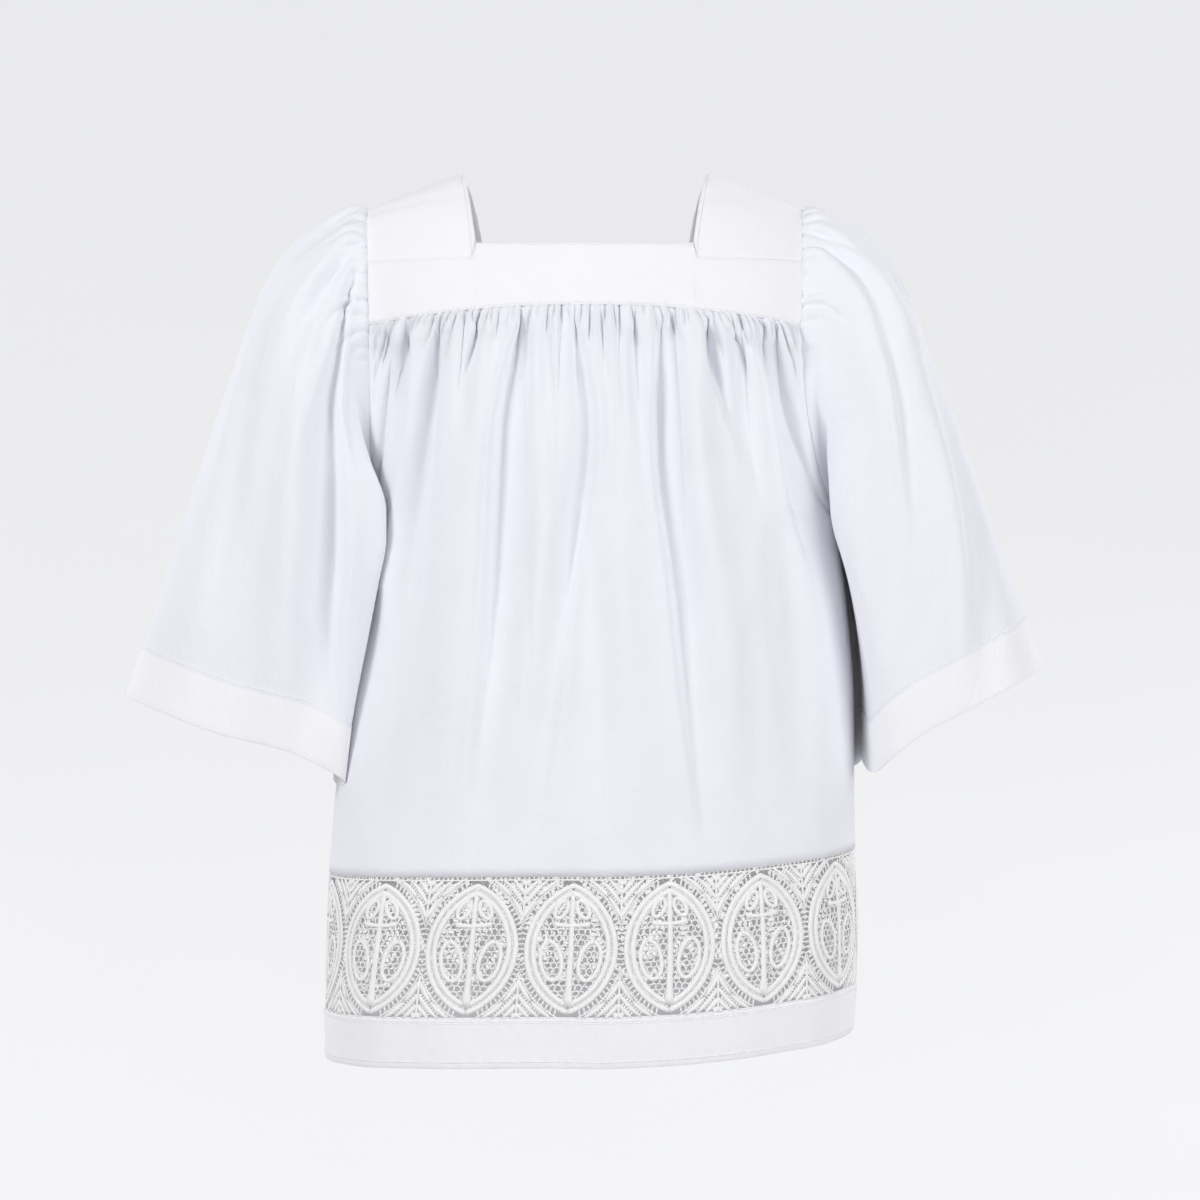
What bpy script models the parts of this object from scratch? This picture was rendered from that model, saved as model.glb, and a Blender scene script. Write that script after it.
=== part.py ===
"""Surplice: a white vestment in the hollow form it has when worn.

A square neck yoke of two bands and two shoulder straps carries a gathered
body, two bell sleeves and, round the skirt, a lace insertion above a plain
bottom band.  Every piece of cloth is one closed wall.

Metres, +Z up.  The front faces -Y and +X is the wearer's left.  The origin is
in the middle of the neck, level with the tops of the shoulder straps.
"""

import math

import bmesh
import bpy
import numpy as np

# Cloth and seams
PLAIN_WALL = 0.0015
DOUBLE_WALL = 0.0022
LACE_WALL = 0.0016
SEAM_GAP = 0.0003

# Yoke
RIDGE_Y = 0.004  # the shoulder ridges lie a little behind the middle
NECK_HALF_TOP = 0.108
NECK_HALF_LOW = 0.092
STRAP_DROP = 0.38  # fall of the ridge for each metre outwards
ARM_X_TOP = 0.190
ARM_X_SEAM = 0.184
NECK_EDGE_Z = {"front": -0.069, "back": -0.056}
JOIN_Z = {"front": -0.081, "back": -0.068}
YOKE_SEAM_Z = {"front": -0.123, "back": -0.118}
YOKE_SEAM_FALL = 0.014  # the seam is this much lower at the armholes
CORNER_WIDTH = 0.010  # the square neck corner steps down to the strap join over this
YOKE_CREST = 0.62  # how square the fold over the shoulder is
SETTLING = 4  # rounds that bring a seam point onto the seam

# Skirt seams
UNDERARM_Z = -0.302
LACE_TOP_Z = -0.602
LACE_LOW_Z = -0.7225
HEM_Z = -0.7615
LIFT = {"right": -0.004, "left": 0.016}  # how much higher the seams run at each side

# Body sections: half widths on the wearer's right (-X) and left (+X), depths in
# front and behind, and how square each side turns (2 is an ellipse)
BODY_COLUMNS = ("z", "right", "left", "front", "back", "right_square", "left_square")
BODY_ROWS = (
    (-0.060, 0.216, 0.219, 0.108, 0.100, 2.3, 2.3),
    (-0.137, 0.215, 0.220, 0.118, 0.108, 2.3, 2.3),
    (-0.220, 0.206, 0.219, 0.124, 0.113, 2.3, 2.3),
    (-0.302, 0.188, 0.220, 0.129, 0.118, 2.3, 2.25),
    (-0.365, 0.196, 0.2275, 0.133, 0.122, 2.35, 2.25),
    (-0.460, 0.208, 0.2345, 0.138, 0.128, 2.5, 2.2),
    (-0.545, 0.2165, 0.2350, 0.141, 0.133, 2.7, 2.2),
    (-0.602, 0.222, 0.2365, 0.143, 0.136, 2.9, 2.2),
    (-0.650, 0.224, 0.2385, 0.144, 0.138, 3.0, 2.2),
    (-0.710, 0.2255, 0.2365, 0.144, 0.139, 3.0, 2.2),
    (-0.780, 0.2250, 0.2295, 0.143, 0.139, 3.0, 2.2),
)

# Armhole: the limit of the panels in x above the underarm
ARMHOLE_COLUMNS = ("z", "right", "left")
ARMHOLE_ROWS = (
    (-0.137, 0.184, 0.184),
    (-0.200, 0.1835, 0.1885),
    (-0.250, 0.1835, 0.198),
    (-0.285, 0.185, 0.2105),
    (-0.302, 0.188, 0.220),
)

# Rows of the panels from the yoke seam (0) to the lace seam (1)
FOLD_LEAD = 0.06  # a fold starts this share of its length above its top
FOLD_SKEW = 0.6  # below 1, a fold is deepest above the middle of its length
PANEL_STEPS = (0.0, 0.06, 0.13, 0.20, 0.27, 0.325, 0.37, 0.47, 0.6, 0.73, 0.87, 1.0)
NECK_ACROSS = 12
STRAP_SHARES = np.array([0.0, 0.109, 0.33, 0.55, 0.78, 1.0])  # lines across a strap
PANEL_ACROSS = 2 * (NECK_ACROSS + 2 * (len(STRAP_SHARES) - 1))  # two to each span of a band

# Folds of the panels: x on the fold at its top, middle and foot, its heights,
# its half width and how far it stands out (a negative height is a trough)
FOLD_COLUMNS = ("x_top", "x_mid", "x_low", "z_top", "z_low", "width", "height")
FRONT_FOLDS = (
    (-0.052, -0.077, -0.088, -0.128, -0.500, 0.017, -0.0105),
    (-0.020, -0.043, -0.072, -0.128, -0.520, 0.016, 0.0060),
    (0.000, 0.000, -0.052, -0.124, -0.500, 0.014, -0.0085),
    (0.041, 0.043, 0.046, -0.124, -0.230, 0.014, -0.0060),
    (0.063, 0.072, 0.107, -0.124, -0.530, 0.018, -0.0100),
    (0.096, 0.110, 0.128, -0.128, -0.500, 0.020, 0.0065),
    (0.132, 0.137, 0.143, -0.132, -0.260, 0.013, -0.0055),
    (-0.144, -0.150, -0.158, -0.132, -0.480, 0.018, -0.0060),
    (-0.108, -0.120, -0.130, -0.130, -0.460, 0.017, 0.0055),
    (0.152, 0.170, 0.192, -0.136, -0.330, 0.013, -0.0050),
    (0.172, 0.176, 0.180, -0.330, -0.560, 0.020, -0.0045),
)
BACK_FOLDS = (
    (-0.135, -0.142, -0.150, -0.128, -0.470, 0.017, -0.0070),
    (-0.096, -0.101, -0.112, -0.124, -0.520, 0.018, 0.0060),
    (-0.062, -0.066, -0.081, -0.122, -0.500, 0.016, -0.0100),
    (-0.022, -0.026, -0.030, -0.120, -0.440, 0.016, 0.0060),
    (0.014, 0.012, 0.004, -0.120, -0.530, 0.017, -0.0100),
    (0.052, 0.061, 0.074, -0.122, -0.480, 0.017, 0.0060),
    (0.090, 0.100, 0.118, -0.124, -0.520, 0.017, -0.0095),
    (0.142, 0.150, 0.158, -0.130, -0.440, 0.016, -0.0060),
)

# Sleeve sections from head to cuff: the line over the arm, the line under it
# and the half depth from front to back; a row for each section
SLEEVE_COLUMNS = ("outer_x", "outer_z", "inner_x", "inner_z", "depth")
SLEEVE_ROWS = {
    "right": (
        (0.204, -0.030, 0.1905, -0.311, 0.080),
        (0.231, -0.043, 0.1935, -0.327, 0.088),
        (0.259, -0.068, 0.1970, -0.346, 0.093),
        (0.281, -0.104, 0.2005, -0.368, 0.096),
        (0.303, -0.163, 0.2050, -0.396, 0.096),
        (0.329, -0.236, 0.2095, -0.428, 0.094),
        (0.353, -0.309, 0.2135, -0.459, 0.091),
        (0.377, -0.382, 0.2165, -0.489, 0.087),
        (0.400, -0.453, 0.2185, -0.519, 0.083),
    ),
    "left": (
        (0.202, -0.031, 0.2225, -0.311, 0.080),
        (0.228, -0.044, 0.2255, -0.326, 0.087),
        (0.254, -0.065, 0.2290, -0.344, 0.092),
        (0.277, -0.097, 0.2325, -0.365, 0.095),
        (0.300, -0.154, 0.2365, -0.391, 0.095),
        (0.326, -0.223, 0.2395, -0.420, 0.093),
        (0.351, -0.292, 0.2415, -0.450, 0.090),
        (0.376, -0.361, 0.2420, -0.479, 0.087),
        (0.399, -0.428, 0.2420, -0.507, 0.083),
    ),
}
SLEEVE_AROUND = 36
SLEEVE_ROUNDNESS = 2.25
CUFF_DIP = 0.019  # how much lower the cuff hangs at its front and back inner corners
CUFF_DIP_ANGLES = (36.0, 324.0)
CUFF_DIP_WIDTH = 26.0
BACK_CLING = 0.85  # share of the gap to the body that a sleeve closes behind the arm
FRONT_CLING = {"right": (0.92, 0.98), "left": (0.75, 0.20)}  # and before it, head and cuff
BODY_CLEARANCE = 0.004
CLING_UP = 0.75  # how far below a section's middle the cling is whole

# Folds of the sleeves: angle from the underarm over the front, its drift, where
# it starts and ends from head (0) to cuff (1), its half angle and height
SLEEVE_FOLD_COLUMNS = ("angle", "drift", "start", "end", "width", "height")
SLEEVE_FOLDS = {
    "right": (
        (48.0, -10.0, 0.15, 1.10, 13.0, -0.0110),
        (78.0, -4.0, 0.05, 1.10, 15.0, 0.0065),
        (112.0, -6.0, -0.10, 0.70, 12.0, -0.0060),
        (143.0, -10.0, -0.10, 0.55, 11.0, -0.0060),
        (222.0, 6.0, -0.10, 0.80, 14.0, -0.0065),
        (262.0, 8.0, 0.05, 1.10, 15.0, 0.0060),
        (300.0, 8.0, 0.10, 1.10, 14.0, -0.0080),
    ),
    "left": (
        (62.0, -6.0, 0.10, 1.10, 13.0, 0.0050),
        (95.0, -8.0, 0.05, 1.00, 16.0, -0.0060),
        (132.0, -12.0, -0.10, 0.70, 13.0, -0.0060),
        (218.0, 10.0, -0.10, 0.75, 14.0, -0.0065),
        (258.0, 6.0, 0.10, 1.10, 15.0, 0.0055),
        (298.0, 6.0, 0.10, 1.10, 14.0, -0.0075),
    ),
}

SIDE_SIGN = {"right": -1.0, "left": 1.0}
FACING = {"front": -1.0, "back": 1.0}

MATERIALS = {
    # name: (colour, roughness)
    "plain_cloth": ((0.80, 0.81, 0.83, 1.0), 0.85),
    "double_cloth": ((0.84, 0.85, 0.87, 1.0), 0.82),
    "lace": ((0.86, 0.86, 0.84, 1.0), 0.80),
}


def clear_scene():
    """Removes every object the file opened with."""
    for item in list(bpy.data.objects):
        bpy.data.objects.remove(item, do_unlink=True)


def column(rows, names, name):
    """One named column of a table as an array."""
    return np.array([row[names.index(name)] for row in rows])


def smooth(value, xs, ys):
    """Cubic through the points of a table, flat past its ends, with no overshoot."""
    order = np.argsort(xs)
    xs, ys = np.asarray(xs, float)[order], np.asarray(ys, float)[order]
    steps = np.diff(xs)
    slopes = np.diff(ys) / steps
    tangents = np.zeros_like(ys)
    tangents[0], tangents[-1] = slopes[0], slopes[-1]
    for i in range(1, len(xs) - 1):
        if slopes[i - 1] * slopes[i] > 0:
            tangents[i] = 2 * slopes[i - 1] * slopes[i] / (slopes[i - 1] + slopes[i])
    value = np.clip(np.asarray(value, float), xs[0], xs[-1])
    at = np.clip(np.searchsorted(xs, value) - 1, 0, len(xs) - 2)
    step = steps[at]
    part = (value - xs[at]) / step
    rise = part * part * (3 - 2 * part)
    lead = part * (1 - part) ** 2 * step
    tail = part * part * (part - 1) * step
    return ys[at] * (1 - rise) + ys[at + 1] * rise + tangents[at] * lead + tangents[at + 1] * tail


def body_size(z, name):
    """A size of the body section at height z."""
    heights = column(BODY_ROWS, BODY_COLUMNS, "z")
    return smooth(z, heights, column(BODY_ROWS, BODY_COLUMNS, name))


def armhole_x(z, side):
    """How far out a panel reaches at height z on one side."""
    heights = column(ARMHOLE_ROWS, ARMHOLE_COLUMNS, "z")
    cut = smooth(z, heights, column(ARMHOLE_ROWS, ARMHOLE_COLUMNS, side))
    return np.where(z > UNDERARM_Z, cut, body_size(z, side))


def body_y(x, z, facing):
    """Depth of the body surface at x and height z, signed towards its facing."""
    half = np.where(x < 0, body_size(z, "right"), body_size(z, "left"))
    power = np.where(x < 0, body_size(z, "right_square"), body_size(z, "left_square"))
    inside = np.clip(1 - np.abs(x / half) ** power, 0, 1)
    return FACING[facing] * body_size(z, facing) * inside ** (1 / power)


def body_side_x(y, z, side):
    """How far out the body surface is at depth y and height z on one side."""
    half, power = body_size(z, side), body_size(z, f"{side}_square")
    depth = np.where(y < 0, body_size(z, "front"), body_size(z, "back"))
    inside = np.clip(1 - np.abs(y / depth) ** power, 0, 1)
    return half * inside ** (1 / power)


def ring_lift(x, z):
    """How far a level line of the skirt is lifted at x."""
    half = np.where(x < 0, body_size(z, "right"), body_size(z, "left"))
    lift = np.where(x < 0, LIFT["right"], LIFT["left"])
    return lift * np.clip(np.abs(x / half), 0, 1) ** 2


def yoke_seam_z(x, facing):
    """Height of the seam under a yoke band."""
    return YOKE_SEAM_Z[facing] - YOKE_SEAM_FALL * np.abs(x / ARM_X_SEAM) ** 2


def ridge_z(x):
    """Height of the shoulder ridge, level across the neck and falling outwards."""
    out = np.maximum(np.abs(x) - NECK_HALF_TOP, 0)
    return -STRAP_DROP * out


def yoke_point(x, turn, facing):
    """Point of the yoke: turn runs from 0 on the ridge to 1 at the yoke seam."""
    seam_z = yoke_seam_z(x, facing)
    seam_y = body_y(x, seam_z, facing)
    angle = turn * math.pi / 2
    y = RIDGE_Y + (seam_y - RIDGE_Y) * np.sin(angle) ** YOKE_CREST
    z = seam_z + (ridge_z(x) - seam_z) * np.cos(angle) ** (2 - YOKE_CREST)
    return np.stack([np.broadcast_to(x, np.shape(y)), y, z], axis=-1)


def yoke_normal(x, turn, facing):
    """Outward unit normal of the yoke."""
    step = 1e-4
    turn = np.clip(turn, 2 * step, 1 - 2 * step)
    across = yoke_point(x + step, turn, facing) - yoke_point(x - step, turn, facing)
    down = yoke_point(x, turn + step, facing) - yoke_point(x, turn - step, facing)
    normal = np.cross(down, across) * -FACING[facing]
    return normal / np.linalg.norm(normal, axis=-1, keepdims=True)


def yoke_turn(x, z, facing):
    """The turn at which the yoke has height z."""
    seam_z = yoke_seam_z(x, facing)
    part = np.clip((z - seam_z) / (ridge_z(x) - seam_z), 0, 1)
    return np.arccos(part ** (1 / (2 - YOKE_CREST))) * 2 / math.pi


def neck_x(turn, facing):
    """Half width of the neck opening, narrower at the chest than on the ridge."""
    edge = yoke_turn(NECK_HALF_LOW, NECK_EDGE_Z[facing], facing)
    part = np.clip(turn / edge, 0, 1)
    return NECK_HALF_TOP + (NECK_HALF_LOW - NECK_HALF_TOP) * part


def arm_x(turn):
    """Half width of the yoke at the armhole."""
    return ARM_X_TOP + (ARM_X_SEAM - ARM_X_TOP) * turn


def band_top_z(x, facing):
    """Top of a yoke band: the neck edge in the middle, the strap joins beside it."""
    part = np.clip((np.abs(x) - NECK_HALF_LOW) / CORNER_WIDTH, 0, 1)
    return NECK_EDGE_Z[facing] + (JOIN_Z[facing] - NECK_EDGE_Z[facing]) * part


def eased(value, full):
    """Rises softly from 0 to 1 as a value goes from 0 to full."""
    part = np.clip(value / full, 0, 1)
    return part * part * (3 - 2 * part)


def even_shares(points, count):
    """Resamples a line of points to count + 1 points at equal distances."""
    lengths = np.linalg.norm(np.diff(points, axis=0), axis=1)
    along = np.concatenate([[0], np.cumsum(lengths)])
    wanted = np.linspace(0, along[-1], count + 1)
    return np.stack([np.interp(wanted, along, points[:, k]) for k in range(3)], axis=1)


def normals_of(grid, closed):
    """Outward unit normals of a grid of points."""
    if closed:
        across = np.roll(grid, -1, axis=1) - np.roll(grid, 1, axis=1)
    else:
        across = np.gradient(grid, axis=1)
    down = np.gradient(grid, axis=0)
    normal = np.cross(down, across)
    return normal / np.linalg.norm(normal, axis=2, keepdims=True)


def levelled(normals, rows):
    """Turns the normals of some rows level, so that the edges there lie level too."""
    normals = normals.copy()
    for row in rows:
        normals[row, :, 2] = 0
        normals[row] /= np.linalg.norm(normals[row], axis=1, keepdims=True)
    return normals


def fold_heights(grid, folds):
    """How far each point of a panel stands out with its folds."""
    x, z = grid[..., 0], grid[..., 2]
    total = np.zeros_like(x)
    for row in folds:
        fold = dict(zip(FOLD_COLUMNS, row))
        part = (fold["z_top"] - z) / (fold["z_top"] - fold["z_low"])
        bend = smooth(part, (0, 0.5, 1), (fold["x_top"], fold["x_mid"], fold["x_low"]))
        fade = np.sin(math.pi * np.clip((part + FOLD_LEAD) / (1 + FOLD_LEAD), 0, 1) ** FOLD_SKEW)
        total += fold["height"] * fade * np.exp(-(((x - bend) / fold["width"]) ** 2))
    return total


def skirt_row(z_line, facing):
    """A row of points across the body; z_line gives its height at each x."""
    low, high = -ARM_X_SEAM, ARM_X_SEAM
    for _ in range(SETTLING):
        low, high = -armhole_x(z_line(low), "right"), armhole_x(z_line(high), "left")
    inset = SEAM_GAP / 2
    spread = np.sin(np.linspace(-math.pi / 2, math.pi / 2, 241))
    x = (low + high) / 2 + (high - low) / 2 * spread
    z = z_line(x)
    row = np.stack([x, body_y(x, z, facing), z], axis=1)
    row = even_shares(row, PANEL_ACROSS)
    row[0] += (row[1] - row[0]) * inset / np.linalg.norm(row[1] - row[0])
    row[-1] += (row[-2] - row[-1]) * inset / np.linalg.norm(row[-2] - row[-1])
    return row if facing == "front" else row[::-1]


def panel_grid(facing):
    """Points and normals of a panel, from the yoke seam to the lace seam."""
    seam = yoke_band_grid(facing)[0][-1]
    halfway = (seam[1:] + seam[:-1]) / 2
    top_row = np.empty((PANEL_ACROSS + 1, 3))
    top_row[::2], top_row[1::2] = seam, halfway
    top_row[:, 2] -= SEAM_GAP
    rows = [top_row]
    for step in PANEL_STEPS[1:]:

        def z_line(x, step=step):
            top = yoke_seam_z(x, facing)
            low = LACE_TOP_Z + ring_lift(np.asarray(x), LACE_TOP_Z) + SEAM_GAP / 2
            return top + (low - top) * step

        rows.append(skirt_row(z_line, facing))
    grid = np.array(rows)
    heights = fold_heights(grid, FRONT_FOLDS if facing == "front" else BACK_FOLDS)
    heights[0] = 0
    heights[:, 0] = heights[:, -1] = 0
    grid += normals_of(grid, False) * heights[..., None]
    return grid, levelled(normals_of(grid, False), (0, -1))


def band_grid(facing, top_z, low_z, rows_down):
    """Points and normals of the lace or the bottom band on one side of the skirt."""
    rows = []
    for height in np.linspace(top_z - SEAM_GAP / 2, low_z + SEAM_GAP / 2, rows_down + 1):
        rows.append(skirt_row(lambda x, h=height: h + ring_lift(np.asarray(x), h), facing))
    grid = np.array(rows)
    return grid, levelled(normals_of(grid, False), range(rows_down + 1))


def yoke_band_grid(facing, down=2):
    """Points and normals of a yoke band, from its top edge down to the yoke seam."""
    middle = np.linspace(-1, 1, NECK_ACROSS + 1)[1:-1]
    under_neck = np.concatenate([-STRAP_SHARES**0, middle, STRAP_SHARES**0])
    under_strap = np.concatenate([-STRAP_SHARES[::-1], middle * 0, STRAP_SHARES])
    if facing == "back":
        under_neck, under_strap = under_neck[::-1], under_strap[::-1]
    rows, normals = [], []
    for share in np.linspace(0, 1, down + 1):
        gap = SEAM_GAP / 2 * (1 - 2 * share)
        reach = ARM_X_SEAM
        for _ in range(SETTLING):
            x = under_neck * NECK_HALF_LOW + under_strap * (reach - NECK_HALF_LOW)
            top = band_top_z(x, facing)
            z = top + (yoke_seam_z(x, facing) - top) * share - gap
            turn = yoke_turn(x, z, facing)
            reach = arm_x(turn) - SEAM_GAP / 2
        rows.append(yoke_point(x, turn, facing))
        normals.append(yoke_normal(x, turn, facing))
    return np.array(rows), levelled(np.array(normals), (-1,))


def strap_grid(side, along=10):
    """Points and normals of a shoulder strap, in lines from front to back."""
    sign = SIDE_SIGN[side]
    lines, normals = [], []
    for share in STRAP_SHARES:
        line, outward = [], []
        for facing in ("front", "back"):
            end = 1.0
            for _ in range(SETTLING):
                inner, outer = neck_x(end, facing), arm_x(end) - SEAM_GAP / 2
                x = inner + (outer - inner) * share
                end = yoke_turn(x, band_top_z(x, facing) + SEAM_GAP / 2, facing)
            turn = np.linspace(0, end, along // 2 + 1)
            inner, outer = neck_x(turn, facing), arm_x(turn) - SEAM_GAP / 2
            x = sign * (inner + (outer - inner) * share)
            order = slice(None, None, -1) if facing == "front" else slice(1, None)
            line.extend(yoke_point(x, turn, facing)[order])
            outward.extend(yoke_normal(x, turn, facing)[order])
        lines.append(line)
        normals.append(outward)
    return np.array(lines), np.array(normals)


def armhole_loop(side, count):
    """The armhole from the underarm up the front, over the shoulder and down the back."""
    sign = SIDE_SIGN[side]
    path = []
    for facing in ("front", "back"):
        z = UNDERARM_Z + (YOKE_SEAM_Z[facing] - YOKE_SEAM_FALL - UNDERARM_Z) * np.linspace(0, 1, 60) ** 2
        x = sign * armhole_x(z, side)
        x[0] = sign * body_size(UNDERARM_Z, side)
        up = np.stack([x, body_y(x, z, facing), z], axis=1)
        turn = np.linspace(1, 0, 40)
        over = yoke_point(sign * arm_x(turn), turn, facing)
        whole = np.concatenate([up[:-1], over])
        path.append(whole if facing == "front" else whole[::-1][1:])
    return even_shares(np.concatenate(path), count)[:-1]


def sleeve_section(side, row, part, count):
    """One ring of a sleeve, from under the arm up the front and down the back.

    Its inner side comes close to the body; part is 0 at the head and 1 at the cuff.
    """
    section = dict(zip(SLEEVE_COLUMNS, row))
    sign = SIDE_SIGN[side]
    outer = np.array([sign * section["outer_x"], 0, section["outer_z"]])
    inner = np.array([sign * section["inner_x"], 0, section["inner_z"]])
    angle = np.linspace(0, 2 * math.pi, 361)
    power = 2 / SLEEVE_ROUNDNESS
    up = -np.sign(np.cos(angle)) * np.abs(np.cos(angle)) ** power
    front = np.sign(np.sin(angle)) * np.abs(np.sin(angle)) ** power
    ring = (outer + inner) / 2 + np.outer(up, (outer - inner) / 2)
    ring[:, 1] -= front * section["depth"]
    x, y, z = ring.T
    spare = np.maximum(sign * x - body_side_x(y, z, side) - BODY_CLEARANCE, 0)
    head_cling, cuff_cling = FRONT_CLING[side]
    front_cling = head_cling + (cuff_cling - head_cling) * part
    cling = BACK_CLING * eased(-front, 0.5) + front_cling * eased(front, 0.5)
    ring[:, 0] -= sign * cling * spare * eased(-up, CLING_UP)
    return even_shares(ring, count)[:-1]


def sleeve_grid(side):
    """Points and normals of a sleeve from armhole to cuff, with its folds."""
    sign = SIDE_SIGN[side]
    start = armhole_loop(side, SLEEVE_AROUND)
    start[:, 0] += sign * SEAM_GAP
    rows = SLEEVE_ROWS[side]
    parts = np.linspace(0, 1, len(rows))
    rings = [sleeve_section(side, row, part, SLEEVE_AROUND) for row, part in zip(rows, parts)]
    share = np.arange(SLEEVE_AROUND) / SLEEVE_AROUND
    rings[0] = rings[0] * 0.45 + (start + [sign * 0.010, 0, 0.002]) * 0.55
    rings[1] = rings[1] * 0.85 + (start + [sign * 0.024, 0, -0.004]) * 0.15
    grid = np.array([start, *rings])
    steps = np.linspace(0, 1, len(grid))[:, None]
    for angle in CUFF_DIP_ANGLES:
        dip = CUFF_DIP * np.exp(-(((share * 360 - angle) / CUFF_DIP_WIDTH) ** 2))
        grid[..., 2] -= dip * steps**3
    heights = np.zeros(grid.shape[:2])
    for fold_row in SLEEVE_FOLDS[side]:
        fold = dict(zip(SLEEVE_FOLD_COLUMNS, fold_row))
        centre = fold["angle"] + fold["drift"] * steps
        part = (steps - fold["start"]) / (fold["end"] - fold["start"])
        fade = np.where((part < 0) | (part > 1), 0, np.sin(math.pi * np.clip(part, 0, 1)) ** 0.7)
        off = share * 360 - centre
        heights += fold["height"] * fade * np.exp(-((off / fold["width"]) ** 2))
    heights *= np.clip(steps / 0.15, 0, 1)
    grid += normals_of(grid, True) * (sign * heights[..., None])
    return grid, normals_of(grid, True) * sign


def material(name):
    """The material of one kind of cloth."""
    found = bpy.data.materials.get(name)
    if found:
        return found
    made = bpy.data.materials.new(name)
    made.use_nodes = True
    shader = made.node_tree.nodes["Principled BSDF"]
    colour, roughness = MATERIALS[name]
    shader.inputs["Base Color"].default_value = colour
    shader.inputs["Roughness"].default_value = roughness
    shader.inputs["Metallic"].default_value = 0.0
    return made


def cloth(name, shape, wall, material_name, closed=False, flip=False):
    """A closed wall of cloth: shape holds the points of its outer face and their normals."""
    outer, normals = shape
    body = bmesh.new()
    faces = []
    for layer in (outer, outer - normals * wall):
        faces.append([[body.verts.new(point) for point in row] for row in layer])
    front, back = faces
    down, across = len(outer), len(outer[0])
    edges = []
    for i in range(down - 1):
        for j in range(across if closed else across - 1):
            k = (j + 1) % across
            body.faces.new((front[i][j], front[i + 1][j], front[i + 1][k], front[i][k]))
            body.faces.new((back[i][k], back[i + 1][k], back[i + 1][j], back[i][j]))
    for j in range(across if closed else across - 1):
        k = (j + 1) % across
        edges += [((0, k), (0, j)), ((down - 1, j), (down - 1, k))]
    if not closed:
        for i in range(down - 1):
            edges += [((i, 0), (i + 1, 0)), ((i + 1, across - 1), (i, across - 1))]
    for (i, j), (m, n) in edges:
        body.faces.new((front[m][n], front[i][j], back[i][j], back[m][n]))
    for face in body.faces:
        face.smooth = True
    if flip:
        bmesh.ops.reverse_faces(body, faces=body.faces)
    mesh = bpy.data.meshes.new(name)
    body.to_mesh(mesh)
    body.free()
    mesh.materials.append(material(material_name))
    item = bpy.data.objects.new(name, mesh)
    bpy.context.scene.collection.objects.link(item)
    return item


def main():
    """Builds the surplice piece by piece."""
    clear_scene()
    for facing in FACING:
        cloth(f"{facing}_panel", panel_grid(facing), PLAIN_WALL, "plain_cloth")
        cloth(f"yoke_{facing}", yoke_band_grid(facing), DOUBLE_WALL, "double_cloth")
        lace = band_grid(facing, LACE_TOP_Z, LACE_LOW_Z, 2)
        cloth(f"lace_{facing}", lace, LACE_WALL, "lace")
        cloth(f"hem_{facing}", band_grid(facing, LACE_LOW_Z, HEM_Z, 1), DOUBLE_WALL, "double_cloth")
    for side in SIDE_SIGN:
        strap = strap_grid(side)
        cloth(f"strap_{side}", strap, DOUBLE_WALL, "double_cloth", flip=side == "right")
        sleeve = sleeve_grid(side)
        cloth(f"sleeve_{side}", sleeve, PLAIN_WALL, "plain_cloth", closed=True, flip=side == "right")


main()
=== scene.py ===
"""A white surplice in its worn, hollow form: yoke, gathered body, bell sleeves, lace.

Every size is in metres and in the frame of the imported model: +X is the wearer's
left, the front faces -Y, +Z is up and the origin is in the middle of the neck.
"""

import logging
import math
from collections.abc import Callable, Sequence
from dataclasses import dataclass, field, replace
from enum import Enum

import bmesh
import bpy
import numpy as np
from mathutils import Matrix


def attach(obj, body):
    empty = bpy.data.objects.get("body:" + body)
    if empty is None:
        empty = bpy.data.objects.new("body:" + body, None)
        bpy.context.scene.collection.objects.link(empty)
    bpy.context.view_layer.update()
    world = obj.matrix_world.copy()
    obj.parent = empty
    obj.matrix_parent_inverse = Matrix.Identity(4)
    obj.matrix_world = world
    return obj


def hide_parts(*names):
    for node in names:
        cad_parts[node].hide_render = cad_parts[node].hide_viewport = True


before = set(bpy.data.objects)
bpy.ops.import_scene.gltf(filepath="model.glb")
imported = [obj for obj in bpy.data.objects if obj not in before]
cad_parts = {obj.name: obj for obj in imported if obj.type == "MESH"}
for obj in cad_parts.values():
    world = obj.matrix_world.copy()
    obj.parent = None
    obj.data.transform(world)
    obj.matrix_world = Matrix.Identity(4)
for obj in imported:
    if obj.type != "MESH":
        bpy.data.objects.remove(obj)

LOG = logging.getLogger("surplice")
Array = np.ndarray
BODY = "root"
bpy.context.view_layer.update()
STITCH_LIFT = 0.0001  # how far out of the cloth's face its stitches lie
TINY = 1e-12  # keeps a length of nothing from dividing


# ---------------------------------------------------------------- choices


class Facing(Enum):
    """The two faces of the garment, with the sign of their Y."""

    FRONT = -1.0
    BACK = 1.0

    @property
    def label(self) -> str:
        """The word used in piece names."""
        return self.name.lower()


class Side(Enum):
    """The wearer's sides, with the sign of their X."""

    RIGHT = -1.0
    LEFT = 1.0

    @property
    def label(self) -> str:
        """The word used in piece names."""
        return self.name.lower()


class Slot(Enum):
    """Names of material slots; dress takes one but does not use it."""

    PLAIN = "plain_cloth"
    DOUBLE = "double_cloth"
    LACE = "lace"


# ---------------------------------------------------------------- tables and lines


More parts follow.
